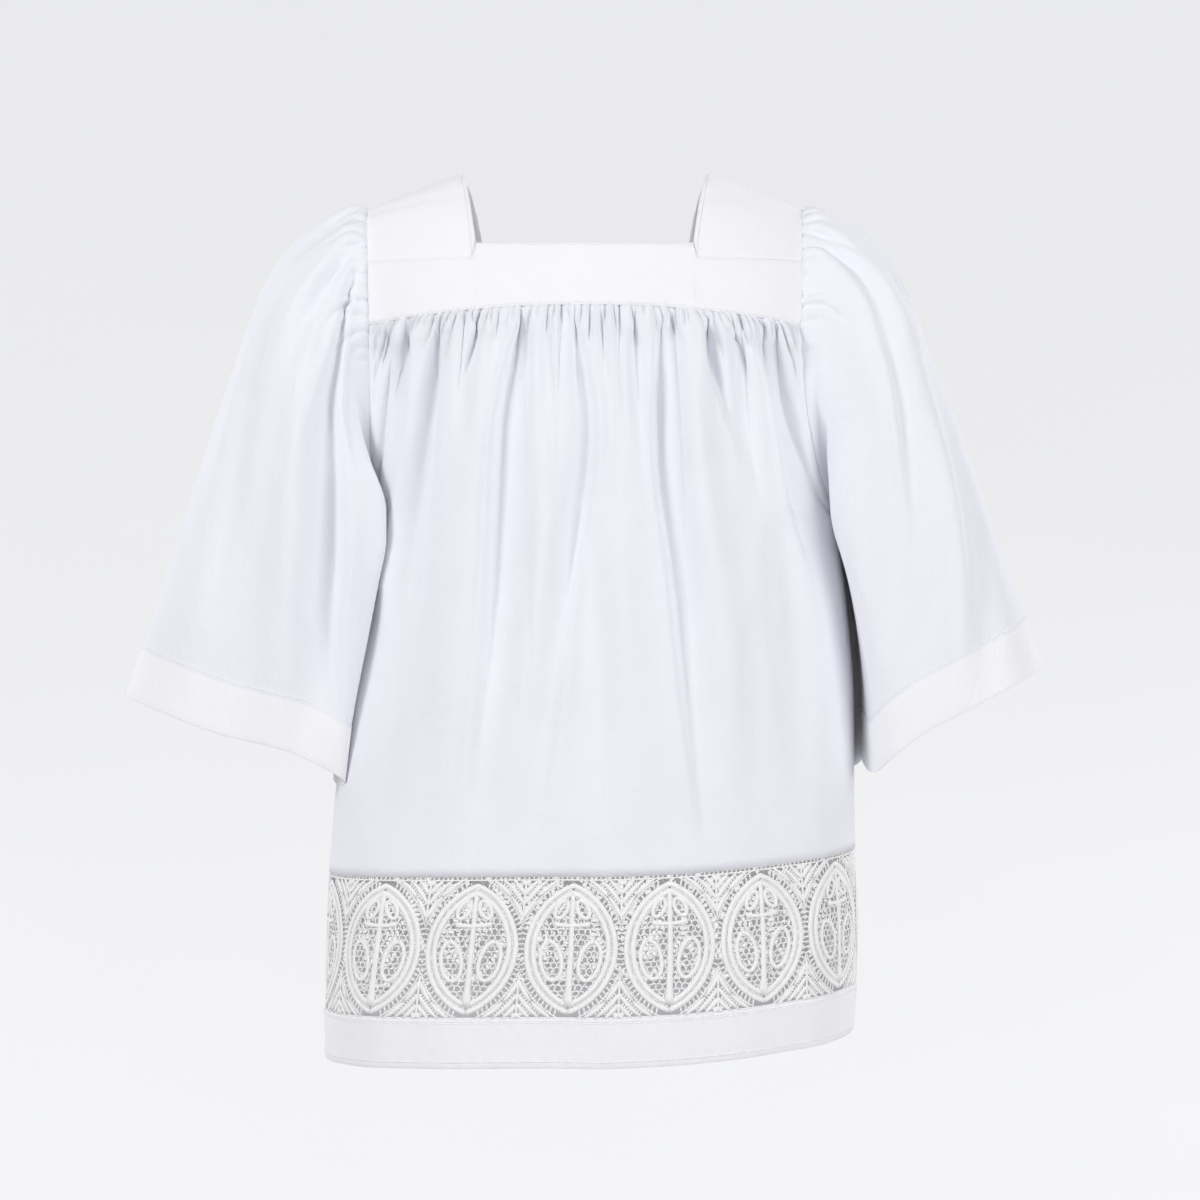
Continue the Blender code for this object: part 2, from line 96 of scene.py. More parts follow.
def smooth(value: Array | float, xs: Sequence[float], ys: Sequence[float]) -> Array:
    """Reads a table along a cubic that has no overshoot and is flat past the ends.

    Args:
        value: Where to read.
        xs: The table's places, in any order.
        ys: The table's values.

    Returns:
        The values there, in the shape of value.
    """
    order = np.argsort(xs)
    xs, ys = np.asarray(xs, float)[order], np.asarray(ys, float)[order]
    steps = np.diff(xs)
    slopes = np.diff(ys) / steps
    tangents = np.zeros_like(ys)
    tangents[0], tangents[-1] = slopes[0], slopes[-1]
    for i in range(1, len(xs) - 1):
        if slopes[i - 1] * slopes[i] > 0:
            tangents[i] = 2 * slopes[i - 1] * slopes[i] / (slopes[i - 1] + slopes[i])
    value = np.clip(np.asarray(value, float), xs[0], xs[-1])
    at = np.clip(np.searchsorted(xs, value) - 1, 0, len(xs) - 2)
    step = steps[at]
    part = (value - xs[at]) / step
    ease = part * part * (3 - 2 * part)
    lead = part * (1 - part) ** 2 * step
    tail = part * part * (part - 1) * step
    return ys[at] * (1 - ease) + ys[at + 1] * ease + tangents[at] * lead + tangents[at + 1] * tail


def even_shares(points: Array, count: int) -> Array:
    """Resamples a line of points at equal distances.

    Args:
        points: The line's points.
        count: How many spans it gets.

    Returns:
        count + 1 points.
    """
    lengths = np.linalg.norm(np.diff(points, axis=0), axis=1)
    along = np.concatenate([[0], np.cumsum(lengths)])
    wanted = np.linspace(0, along[-1], count + 1)
    return np.stack([np.interp(wanted, along, points[:, k]) for k in range(3)], axis=1)


def bump(offset: Array, width: Array | float) -> Array:
    """A bell curve of height 1."""
    return np.exp(-((offset / width) ** 2))


def rise(value: Array | float, start: float, end: float) -> Array:
    """A smooth step from 0 at start to 1 at end."""
    part = np.clip((np.asarray(value, float) - start) / (end - start), 0, 1)
    return part * part * (3 - 2 * part)


@dataclass(frozen=True)
class Table:
    """A table of sizes with named columns, read smoothly along its first column."""

    names: tuple[str, ...]
    rows: tuple[tuple[float, ...], ...]

    def column(self, name: str) -> Array:
        """One column."""
        return np.array([row[self.names.index(name)] for row in self.rows])

    def at(self, value: Array | float, name: str) -> Array:
        """A column read at values of the first column."""
        return smooth(value, self.column(self.names[0]), self.column(name))


# ---------------------------------------------------------------- the worn form


@dataclass(frozen=True)
class BodyForm:
    """The body as level sections, the armholes that cut them, and its seams."""

    sections: Table = Table(
        ("z", "right", "left", "front", "back", "right_square", "left_square"),
        (
            (-0.060, 0.216, 0.219, 0.108, 0.100, 2.3, 2.3),
            (-0.137, 0.215, 0.220, 0.118, 0.108, 2.3, 2.3),
            (-0.220, 0.206, 0.219, 0.124, 0.113, 2.3, 2.3),
            (-0.302, 0.188, 0.220, 0.129, 0.118, 2.3, 2.25),
            (-0.365, 0.196, 0.2275, 0.133, 0.122, 2.35, 2.25),
            (-0.460, 0.208, 0.2345, 0.138, 0.128, 2.5, 2.2),
            (-0.545, 0.2165, 0.2350, 0.141, 0.133, 2.7, 2.2),
            (-0.602, 0.222, 0.2365, 0.143, 0.136, 2.9, 2.2),
            (-0.650, 0.224, 0.2385, 0.144, 0.138, 3.0, 2.2),
            (-0.710, 0.2255, 0.2365, 0.144, 0.139, 3.0, 2.2),
            (-0.780, 0.2250, 0.2295, 0.143, 0.139, 3.0, 2.2),
        ),
    )
    armhole: Table = Table(
        ("z", "right", "left"),
        (
            (-0.137, 0.184, 0.184),
            (-0.200, 0.1835, 0.1885),
            (-0.250, 0.1835, 0.198),
            (-0.285, 0.185, 0.2105),
            (-0.302, 0.188, 0.220),
        ),
    )
    underarm_z: float = -0.302
    lace_top_z: float = -0.602
    lace_low_z: float = -0.7225
    hem_z: float = -0.7615
    steady: float = 0.135  # columns within this distance of the middle hang straight
    right_lift: float = -0.004
    left_lift: float = 0.016
    waves: tuple[tuple[float, float, float], ...] = (
        # radians in a metre, share of the phase, strength
        (34.0, 1.0, 1.0),
        (63.0, 2.1, 0.7),
        (97.0, 1.0, 0.4),
    )
    wave_phase: tuple[float, float] = (0.4, 2.3)  # front, back
    wave_height: float = 0.0017
    wave_drop: tuple[float, float] = (0.40, 0.64)  # the waves grow between these drops
    wave_side: tuple[float, float] = (0.75, 1.0)  # and fade between these shares of the half width
    first_reach: float = 0.18  # where the search for the ends of a row begins
    side_spans: int = 6  # one span in this many lies on each rounded side
    fine: int = 301  # points on a line before it is resampled

    def half(self, x: Array, z: Array) -> Array:
        """Half width of the section on the side of x."""
        return np.where(x < 0, self.sections.at(z, "right"), self.sections.at(z, "left"))

    def y(self, x: Array, z: Array, facing: Facing) -> Array:
        """Y of the surface on one face.

        Args:
            x: Places across.
            z: Heights.
            facing: The face.

        Returns:
            Y at each place.
        """
        right, left = self.sections.at(z, "right_square"), self.sections.at(z, "left_square")
        power = np.where(x < 0, right, left)
        inside = np.clip(1 - np.abs(x / self.half(x, z)) ** power, 0, 1)
        return facing.value * self.sections.at(z, facing.label) * inside ** (1 / power)

    def lift(self, x: Array, z: Array | float) -> Array:
        """How far a level line of the skirt is lifted at x."""
        side = np.where(np.asarray(x) < 0, self.right_lift, self.left_lift)
        return side * np.clip(np.abs(x / self.half(x, z)), 0, 1) ** 2

    def ripple(self, x: Array, z: Array, facing: Facing) -> Array:
        """Slow waves round the foot of the skirt.

        Args:
            x: Places across.
            z: Heights.
            facing: The face.

        Returns:
            How far the cloth stands out there.
        """
        phase = self.wave_phase[0 if facing is Facing.FRONT else 1]
        waves = sum(high * np.sin(turns * x + share * phase) for turns, share, high in self.waves)
        fade = rise(-z, *self.wave_drop) * (1 - rise(np.abs(x / self.half(x, z)), *self.wave_side))
        return self.wave_height * waves * fade

    def side_x(self, y: Array, z: Array, side: Side) -> Array:
        """Distance of the body's side from the middle.

        Args:
            y: Places from front to back.
            z: Heights.
            side: The side.

        Returns:
            The distance at each place.
        """
        power = self.sections.at(z, f"{side.label}_square")
        depth = np.where(y < 0, self.sections.at(z, "front"), self.sections.at(z, "back"))
        inside = np.clip(1 - np.abs(y / depth) ** power, 0, 1)
        return self.sections.at(z, side.label) * inside ** (1 / power)

    def reach(self, z: Array | float, side: Side) -> Array:
        """How far out a panel goes at height z on one side."""
        cut = self.armhole.at(z, side.label)
        return np.where(np.asarray(z) > self.underarm_z, cut, self.sections.at(z, side.label))

    def row(self, z_line: Callable[[Array], Array], facing: Facing, count: int) -> Array:
        """A line of points across one face.

        Args:
            z_line: Gives the line's height at each x.
            facing: The face it lies on.
            count: How many spans it has.

        Returns:
            count + 1 points, from -X to +X on the front, closest together in the middle.
        """
        low, high = -self.first_reach, self.first_reach
        for _ in range(4):
            low = -float(self.reach(z_line(np.array(low)), Side.RIGHT))
            high = float(self.reach(z_line(np.array(high)), Side.LEFT))
        edge = count // self.side_spans
        turn = np.linspace(0, math.pi / 2, self.fine)
        spans = (
            (self.steady + (-low - self.steady) * np.sin(turn[::-1])) * -1,
            np.linspace(-self.steady, self.steady, self.fine),
            self.steady + (high - self.steady) * np.sin(turn),
        )
        parts = []
        for x, shares in zip(spans, (edge, count - 2 * edge, edge)):
            z = z_line(x)
            parts.append(even_shares(np.stack([x, self.y(x, z, facing), z], axis=1), shares)[:-1])
        last = np.array(high)
        end = np.array([[last, self.y(last, z_line(last), facing), z_line(last)]], dtype=float)
        points = np.concatenate([*parts, end])
        return points if facing is Facing.FRONT else points[::-1]

    def level_row(self, level: float, facing: Facing, count: int) -> Array:
        """A row of count spans across one face, level but for the skirt's lift."""
        return self.row(lambda x: level + self.lift(x, level), facing, count)


@dataclass(frozen=True)
class YokeForm:
    """The yoke as arches over the shoulders, cut by a square neck."""

    body: BodyForm = BodyForm()
    ridge_y: float = 0.004
    neck_top: float = 0.108
    neck_low: float = 0.092
    drop: float = 0.38
    arm_top: float = 0.190
    arm_seam: float = 0.184
    crest: float = 0.62
    corner: float = 0.003
    seam_fall: float = 0.014
    heights: dict[Facing, tuple[float, float, float]] = field(
        default_factory=lambda: {
            Facing.FRONT: (-0.069, -0.081, -0.123),  # neck edge, strap join, yoke seam
            Facing.BACK: (-0.056, -0.068, -0.118),
        }
    )

    def seam_z(self, x: Array, facing: Facing) -> Array:
        """Height of the seam under a band."""
        return self.heights[facing][2] - self.seam_fall * np.abs(x / self.arm_seam) ** 2

    def ridge_z(self, x: Array) -> Array:
        """Height of the fold over the shoulder."""
        return -self.drop * np.maximum(np.abs(x) - self.neck_top, 0)

    def point(self, x: Array, turn: Array, facing: Facing) -> Array:
        """Points of the yoke.

        Args:
            x: Places across.
            turn: 0 on the ridge and 1 at the yoke seam.
            facing: The face.

        Returns:
            The points, in the shape of x or turn.
        """
        seam_z = self.seam_z(x, facing)
        seam_y = self.body.y(x, seam_z, facing)
        angle = np.clip(turn, 0, 1) * math.pi / 2
        y = self.ridge_y + (seam_y - self.ridge_y) * np.sin(angle) ** self.crest
        z = seam_z + (self.ridge_z(x) - seam_z) * np.cos(angle) ** (2 - self.crest)
        return np.stack([np.broadcast_to(x, np.shape(y)), y, z], axis=-1)

    def turn(self, x: Array, z: Array, facing: Facing) -> Array:
        """The turn at which the yoke has a height.

        Args:
            x: Places across.
            z: Heights.
            facing: The face.

        Returns:
            0 on the ridge and 1 at the yoke seam.
        """
        seam_z = self.seam_z(x, facing)
        part = np.clip((z - seam_z) / (self.ridge_z(x) - seam_z), 0, 1)
        return np.arccos(part ** (1 / (2 - self.crest))) * 2 / math.pi

    def neck_x(self, turn: Array, facing: Facing) -> Array:
        """Half width of the neck opening."""
        edge = self.turn(np.array(self.neck_low), np.array(self.heights[facing][0]), facing)
        return self.neck_top + (self.neck_low - self.neck_top) * np.clip(turn / edge, 0, 1)

    def arm_x(self, turn: Array) -> Array:
        """Half width of the yoke at the armhole."""
        return self.arm_top + (self.arm_seam - self.arm_top) * turn

    def top_z(self, x: Array, facing: Facing) -> Array:
        """Top of a band: the neck edge in the middle, the strap joins beside it."""
        edge, join, _ = self.heights[facing]
        return edge + (join - edge) * np.clip((np.abs(x) - self.neck_low) / self.corner, 0, 1)


@dataclass(frozen=True)
class SleeveForm:
    """A sleeve as slanted rings from the armhole to the cuff."""

    side: Side
    yoke: YokeForm = YokeForm()
    square: float = 2.25
    dip: float = 0.019
    dip_angles: tuple[float, float] = (36.0, 324.0)
    dip_width: float = 26.0
    cling: float = 0.85  # how closely the inner back corner follows the body
    front_cling: dict[Side, tuple[float, float]] = field(
        default_factory=lambda: {Side.RIGHT: (0.92, 0.98), Side.LEFT: (0.75, 0.20)}  # head, cuff
    )
    clearance: dict[Side, float] = field(default_factory=lambda: {Side.RIGHT: 0.0022, Side.LEFT: 0.004})
    head_blend: tuple[tuple[float, float, float], ...] = (
        # how much of the first rings is the armhole's own line, and its shift out and up
        (0.55, 0.010, 0.002),
        (0.15, 0.024, -0.004),
    )
    arm_points: int = 200
    shoulder_points: int = 120
    ring_points: int = 721
    face_band: float = 0.5  # share of the depth over which the cling of a face sets in
    under_band: float = 0.75  # share of the height over which it fades upwards
    rings: dict[Side, tuple[tuple[float, ...], ...]] = field(
        default_factory=lambda: {
            # outer x, outer z, inner x, inner z, half depth; from head to cuff
            Side.RIGHT: (
                (0.204, -0.030, 0.1905, -0.311, 0.080),
                (0.231, -0.043, 0.1935, -0.327, 0.088),
                (0.259, -0.068, 0.1970, -0.346, 0.093),
                (0.281, -0.104, 0.2005, -0.368, 0.096),
                (0.303, -0.163, 0.2050, -0.396, 0.096),
                (0.329, -0.236, 0.2095, -0.428, 0.094),
                (0.353, -0.309, 0.2135, -0.459, 0.091),
                (0.377, -0.382, 0.2165, -0.489, 0.087),
                (0.400, -0.453, 0.2185, -0.519, 0.083),
            ),
            Side.LEFT: (
                (0.202, -0.031, 0.2225, -0.311, 0.080),
                (0.228, -0.044, 0.2255, -0.326, 0.087),
                (0.254, -0.065, 0.2290, -0.344, 0.092),
                (0.277, -0.097, 0.2325, -0.365, 0.095),
                (0.300, -0.154, 0.2365, -0.391, 0.095),
                (0.326, -0.223, 0.2395, -0.420, 0.093),
                (0.351, -0.292, 0.2415, -0.450, 0.090),
                (0.376, -0.361, 0.2420, -0.479, 0.087),
                (0.399, -0.428, 0.2420, -0.507, 0.083),
            ),
        }
    )

    def armhole(self, count: int) -> Array:
        """The armhole from the underarm up the front, over and down the back.

        Args:
            count: How many points it gets.

        Returns:
            Points at equal distances, without the last, which is the first.
        """
        sign, body = self.side.value, self.yoke.body
        path = []
        for facing in Facing:
            top = float(self.yoke.seam_z(np.array(self.yoke.arm_seam), facing))
            z = body.underarm_z + (top - body.underarm_z) * np.linspace(0, 1, self.arm_points) ** 2
            x = sign * body.reach(z, self.side)
            x[0] = sign * body.sections.at(body.underarm_z, self.side.label)
            up = np.stack([x, body.y(x, z, facing), z], axis=1)
            turn = np.linspace(1, 0, self.shoulder_points)
            over = self.yoke.point(sign * self.yoke.arm_x(turn), turn, facing)
            whole = np.concatenate([up[:-1], over])
            path.append(whole if facing is Facing.FRONT else whole[::-1][1:])
        return even_shares(np.concatenate(path), count)[:-1]

    def ring(self, sizes: Sequence[float], part: float, count: int) -> Array:
        """One ring, from under the arm up the front and down the back.

        Args:
            sizes: A row of rings.
            part: 0 at the head and 1 at the cuff.
            count: Points in the ring.

        Returns:
            The points, with the inner side drawn close to the body.
        """
        outer_x, outer_z, inner_x, inner_z, depth = sizes
        sign = self.side.value
        outer = np.array([sign * outer_x, 0, outer_z])
        inner = np.array([sign * inner_x, 0, inner_z])
        angle = np.linspace(0, 2 * math.pi, self.ring_points)
        power = 2 / self.square
        up = -np.sign(np.cos(angle)) * np.abs(np.cos(angle)) ** power
        front = np.sign(np.sin(angle)) * np.abs(np.sin(angle)) ** power
        points = (outer + inner) / 2 + np.outer(up, (outer - inner) / 2)
        points[:, 1] -= front * depth
        x, y, z = points.T
        spare = np.maximum(sign * x - self.yoke.body.side_x(y, z, self.side) - self.clearance[self.side], 0)
        head, cuff = self.front_cling[self.side]
        close = self.cling * rise(-front, 0.0, self.face_band)
        close = close + (head + (cuff - head) * part) * rise(front, 0.0, self.face_band)
        points[:, 0] -= sign * close * spare * rise(-up, 0.0, self.under_band)
        return even_shares(points, count)[:-1]

    def surface(self, around: int, along: int) -> Array:
        """The whole sleeve without its folds.

        Args:
            around: Points in a ring.
            along: Spans from head to cuff.

        Returns:
            A grid of points, with a ring in each row.
        """
        sign = self.side.value
        start = self.armhole(around)
        parts = np.linspace(0, 1, len(self.rings[self.side]))
        rings = [self.ring(sizes, part, around) for sizes, part in zip(self.rings[self.side], parts)]
        for number, (own, out, up) in enumerate(self.head_blend):
            rings[number] = rings[number] * (1 - own) + (start + [sign * out, 0, up]) * own
        coarse = np.array([start, *rings])
        share = np.arange(around) / around
        steps = np.linspace(0, 1, len(coarse))[:, None]
        for angle in self.dip_angles:
            coarse[..., 2] -= self.dip * bump(share * 360 - angle, self.dip_width) * steps**3
        knots = np.linspace(0, 1, len(coarse))
        wanted = np.linspace(0, 1, along + 1)
        grid = np.empty((along + 1, around, 3))
        for j in range(around):
            for k in range(3):
                grid[:, j, k] = smooth(wanted, knots, coarse[:, j, k])
        return grid


# ---------------------------------------------------------------- cloth


@dataclass(frozen=True)
class Fold:
    """One soft fold: a trough or a ridge that runs down a piece.

    Across and down are distances in metres in the piece's own measure. With lean above 0
    the side of greater across is the steeper one. Spread is how much the fold widens.
    """

    path: tuple[float, ...]
    span: tuple[float, float]
    width: float
    height: float
    lean: float = 0.0
    spread: float = 0.4
    fade: float = 0.62  # below 1 the fold is strongest above its middle
    swell: float = 0.28  # height of the two swells beside it, as a share of its own
    swell_at: float = 2.0
    swell_width: float = 0.9

    def lift(self, across: Array, down: Array, around: float | None = None) -> Array:
        """How far the fold stands out at each point.

        Args:
            across: Distances across the piece.
            down: Distances down it.
            around: A tube's whole width, where the piece is one.

        Returns:
            Heights in the shape of across.
        """
        part = (down - self.span[0]) / (self.span[1] - self.span[0])
        centre = smooth(part, np.linspace(0, 1, len(self.path)), self.path)
        width = self.width * (1 + self.spread * np.clip(part, 0, 1))
        off = across - centre
        if around:
            off = (off + around / 2) % around - around / 2
        off = off / width
        off = off * (1 + self.lean * np.tanh(2 * off))
        fade = np.sin(math.pi * np.clip(part, 0, 1) ** self.fade)
        swells = bump(off - self.swell_at, self.swell_width) + bump(off + self.swell_at, self.swell_width)
        return self.height * fade * (np.exp(-(off**2)) - self.swell * swells)


@dataclass(frozen=True)
class Gathers:
    """Small uneven pleats that hang from a gathered seam and die out below it."""

    pitch: float
    depth: float
    reach: float
    seed: int
    puff: float = 0.003
    narrow: float = 0.0012
    drift: float = 0.06
    fan: float = 0.45
    widen: float = 0.045
    jitter: float = 0.36  # how far a pleat strays from its even place, in pitches
    long_share: float = 0.3
    long_reach: tuple[float, float] = (1.2, 2.4)
    short_reach: tuple[float, float] = (0.3, 1.0)
    depth_range: tuple[float, float] = (0.55, 1.3)
    puff_at: float = 0.010
    puff_width: float = 0.016
    seam_depth: float = 0.55  # share of its depth that a pleat has at the seam
    set_in: float = 0.012
    sharp: float = 1.6
    swell: float = 0.30  # cloth pushed up beside a pleat, as a share of its depth
    swell_at: float = 2.4
    swell_width: float = 1.1

    def lift(self, across: Array, down: Array, length: float, weight: Array | float = 1.0) -> Array:
        """How far the gathered cloth stands out.

        Args:
            across: Distance along the seam that each point hangs from.
            down: Distance below the seam.
            length: The seam's length.
            weight: How strongly the cloth is gathered at each point.

        Returns:
            Heights in the shape of across.
        """
        rng = np.random.default_rng(self.seed)
        count = int(length / self.pitch)
        strays = rng.uniform(-self.jitter, self.jitter, count)
        places = (np.arange(count) + 0.5 + strays) * length / count
        long = rng.random(count) < self.long_share
        far, near = rng.uniform(*self.long_reach, count), rng.uniform(*self.short_reach, count)
        reach = self.reach * np.where(long, far, near)
        depth = self.depth * rng.uniform(*self.depth_range, count)
        drift = rng.uniform(-1, 1, count) * self.drift + self.fan * (2 * places / length - 1)
        total = self.puff * bump(down - self.puff_at, self.puff_width) * (down > 0)
        below = np.maximum(down, 0)
        width = self.narrow + self.widen * below
        start = self.seam_depth + (1 - self.seam_depth) * rise(below, 0, self.set_in)
        for place, far, deep, slide in zip(places, reach, depth, drift):
            fade = start * (1 - rise(below, far / 4, far))
            off = np.abs(across - place - slide * below) / width
            pleat = np.exp(-self.sharp * off) / (1 + off**4)
            total = total - deep * fade * (pleat - self.swell * bump(off - self.swell_at, self.swell_width))
        return total * weight


@dataclass
class Cloth:
    """The face of one piece of cloth as a grid of points.

    outward is the sign that turns the cross product of down and across outwards.
    """

    points: Array
    closed: bool = False
    outward: float = 1.0

    @property
    def normals(self) -> Array:
        """Outward unit normals."""
        if self.closed:
            across = np.roll(self.points, -1, axis=1) - np.roll(self.points, 1, axis=1)
        else:
            across = np.gradient(self.points, axis=1)
        down = np.gradient(self.points, axis=0)
        normal = np.cross(down, across) * self.outward
        return normal / np.maximum(np.linalg.norm(normal, axis=2, keepdims=True), TINY)

    @property
    def across(self) -> Array:
        """Distance of each point along its row, from the row's start."""
        steps = np.linalg.norm(np.diff(self.points, axis=1), axis=2)
        return np.concatenate([np.zeros((len(steps), 1)), np.cumsum(steps, axis=1)], axis=1)

    @property
    def down(self) -> Array:
        """Distance of each point along its column, from the first row."""
        steps = np.linalg.norm(np.diff(self.points, axis=0), axis=2)
        return np.concatenate([np.zeros((1, steps.shape[1])), np.cumsum(steps, axis=0)], axis=0)

    def lifted(self, heights: Array | float) -> "Cloth":
        """The same cloth moved out along its normals."""
        heights = np.broadcast_to(heights, self.points.shape[:2])
        return Cloth(self.points + self.normals * heights[..., None], self.closed, self.outward)

    def place(self, row: Array, column: Array, lift: Array | float = 0.0) -> tuple[Array, Array]:
        """Points and normals between the grid's own points.

        Args:
            row: Rows, as fractions from 0 to 1.
            column: Columns, as fractions from 0 to 1.
            lift: How far out from the face.

        Returns:
            The points and the outward normals there.
        """
        rows, columns = self.points.shape[:2]
        spans = columns if self.closed else columns - 1
        r = np.clip(np.asarray(row, float), 0, 1) * (rows - 1)
        c = np.asarray(column, float) * spans
        c = c % spans if self.closed else np.clip(c, 0, spans)
        i = np.minimum(r.astype(int), rows - 2)
        j = np.minimum(c.astype(int), spans - 1)
        k = (j + 1) % columns
        s, t = (r - i)[..., None], (c - j)[..., None]
        found = []
        for data in (self.points, self.normals):
            upper = data[i, j] * (1 - t) + data[i, k] * t
            lower = data[i + 1, j] * (1 - t) + data[i + 1, k] * t
            found.append(upper * (1 - s) + lower * s)
        points, normals = found
        normals = normals / np.linalg.norm(normals, axis=-1, keepdims=True)
        return points + normals * np.asarray(lift)[..., None], normals

    def piece(
        self,
        name: str,
        finish: "Finish",
        wall: float = 0.0,
        inner: "Finish | None" = None,
        inner_from: float = 2.0,
        coarse_from: int | None = None,
    ) -> bpy.types.Object:
        """Makes the mesh of the cloth, with a map of its threads in metres.

        Args:
            name: The piece's name.
            finish: Its finish.
            wall: Thickness, laid inwards; 0 leaves a single face.
            inner: A second finish for the rows past inner_from.
            inner_from: Fraction of the rows where the second finish starts.
            coarse_from: The row from which every second column is left out.

        Returns:
            The new object.
        """
        rows, columns = self.points.shape[:2]
        coarse_from = rows if coarse_from is None else coarse_from
        faces: list[tuple[int, ...]] = []
        face_rows: list[int] = []
        for i in range(rows - 1):
            step = 2 if i + 1 >= coarse_from else 1
            for j in range(0, columns if self.closed else columns - 1, step):
                k = (j + step) % columns
                face = [i * columns + j, (i + 1) * columns + j, (i + 1) * columns + k, i * columns + k]
                if i + 1 == coarse_from:
                    face.append(i * columns + j + 1)
                faces.append(tuple(face if self.outward > 0 else face[::-1]))
                face_rows.append(i)
        used = np.unique(np.concatenate([np.array(face) for face in faces]))
        number = np.zeros(rows * columns, dtype=np.int64)
        number[used] = np.arange(len(used))
        u, v = self.across, self.down
        places = np.stack([(u - u.mean(axis=1, keepdims=True)).reshape(-1), v.reshape(-1)], axis=1)
        width = float(u[:, -1].mean() + np.linalg.norm(self.points[:, 0] - self.points[:, -1], axis=1).mean())
        corners = np.array([corner for face in faces for corner in face])
        flat = places[corners]
        if self.closed:
            sizes = np.array([len(face) for face in faces])
            furthest = np.repeat(np.maximum.reduceat(corners % columns, np.cumsum(sizes) - sizes), sizes)
            flat[(corners % columns == 0) & (furthest > columns // 2), 0] += width
        mesh = bpy.data.meshes.new(name)
        wanted = [tuple(int(number[corner]) for corner in face) for face in faces]
        mesh.from_pydata(self.points.reshape(-1, 3)[used].tolist(), [], wanted)
        threads = mesh.uv_layers.new(name="threads")
        threads.data.foreach_set("uv", flat.reshape(-1))
        mesh.materials.append(finish.material())
        if inner is not None:
            mesh.materials.append(inner.material())
            past = np.array(face_rows) / (rows - 1) >= inner_from
            mesh.polygons.foreach_set("material_index", past.astype(np.int32))
        mesh.polygons.foreach_set("use_smooth", np.ones(len(mesh.polygons), dtype=bool))
        item = bpy.data.objects.new(name, mesh)
        bpy.context.scene.collection.objects.link(item)
        if wall:
            thicken = item.modifiers.new("wall", "SOLIDIFY")
            thicken.thickness = wall
            thicken.offset = -1.0
        return item


# ---------------------------------------------------------------- finishes


def socket(group: bpy.types.NodeTree, name: str, way: str, kind: str, value: float | None = None) -> None:
    """Adds a named socket to a node group.

    Args:
        group: The group.
        name: The socket's name.
        way: INPUT or OUTPUT.
        kind: The type of its values.
        value: What it holds when nothing is linked.
    """
    made = group.interface.new_socket(name, in_out=way, socket_type=kind)
    if value is not None:
        made.default_value = value


class NodeKit:
    """Short calls for laying out nodes in one tree."""

    def __init__(self, tree: bpy.types.NodeTree) -> None:
        """Works in a tree."""
        self.tree = tree

    def add(self, kind: str, **settings: object) -> bpy.types.Node:
        """Adds a node; settings are its properties."""
        node = self.tree.nodes.new(kind)
        for name, value in settings.items():
            setattr(node, name, value)
        return node

    def link(self, source: bpy.types.NodeSocket, target: bpy.types.NodeSocket) -> None:
        """Joins two sockets."""
        self.tree.links.new(source, target)

    def math(self, operation: str, *values: "bpy.types.NodeSocket | float") -> bpy.types.NodeSocket:
        """Adds a Math node.

        Args:
            operation: What it does.
            values: The sockets or numbers that feed it.

        Returns:
            Its result.
        """
        node = self.add("ShaderNodeMath", operation=operation)
        for place, value in enumerate(values):
            if isinstance(value, (int, float)):
                node.inputs[place].default_value = value
            else:
                self.link(value, node.inputs[place])
        return node.outputs[0]

    def group(self, name: str, values: dict[str, float]) -> bpy.types.Node:
        """Places a node group with its own values.

        Args:
            name: The group's name.
            values: A number for each named input.

        Returns:
            The group node.
        """
        node = self.add("ShaderNodeGroup")
        node.node_tree = bpy.data.node_groups[name]
        for key, value in values.items():
            node.inputs[key].default_value = value
        return node


def build_weave_group() -> None:
    """Plain weave: threads that pass over and under each other, with thick places."""
    group = bpy.data.node_groups.new("plain_weave", "ShaderNodeTree")
    socket(group, "Threads", "INPUT", "NodeSocketVector")
    socket(group, "Pitch", "INPUT", "NodeSocketFloat", 0.0005)
    socket(group, "Slub", "INPUT", "NodeSocketFloat", 0.3)
    socket(group, "Height", "OUTPUT", "NodeSocketFloat")
    socket(group, "Tone", "OUTPUT", "NodeSocketFloat")
    kit = NodeKit(group)
    ends, result = kit.add("NodeGroupInput"), kit.add("NodeGroupOutput")
    split = kit.add("ShaderNodeSeparateXYZ")
    kit.link(ends.outputs["Threads"], split.inputs[0])
    waves = []
    for axis in (0, 1):
        turns = kit.math("DIVIDE", split.outputs[axis], ends.outputs["Pitch"])
        waves.append(kit.math("SINE", kit.math("MULTIPLY", turns, math.pi)))
    cross = kit.math("MULTIPLY", waves[0], waves[1])
    slubs = []
    along, beside = 40.0, 2600.0  # slubs in a metre, along a thread and from thread to thread
    for stretch in ((along, beside), (beside, along)):
        scaled = kit.add("ShaderNodeVectorMath", operation="MULTIPLY")
        kit.link(ends.outputs["Threads"], scaled.inputs[0])
        scaled.inputs[1].default_value = (*stretch, 1.0)
        noise = kit.add("ShaderNodeTexNoise", noise_dimensions="2D")
        noise.inputs["Scale"].default_value = 1.0
        noise.inputs["Detail"].default_value = 1.0
        kit.link(scaled.outputs[0], noise.inputs["Vector"])
        slubs.append(noise.outputs[0])
    thick = kit.math("MULTIPLY", kit.math("ADD", *slubs), ends.outputs["Slub"])
    crossing_height = 0.35
    height = kit.math("ADD", kit.math("MULTIPLY", cross, crossing_height), thick)
    kit.link(height, result.inputs["Height"])
    kit.link(kit.math("ADD", *slubs), result.inputs["Tone"])


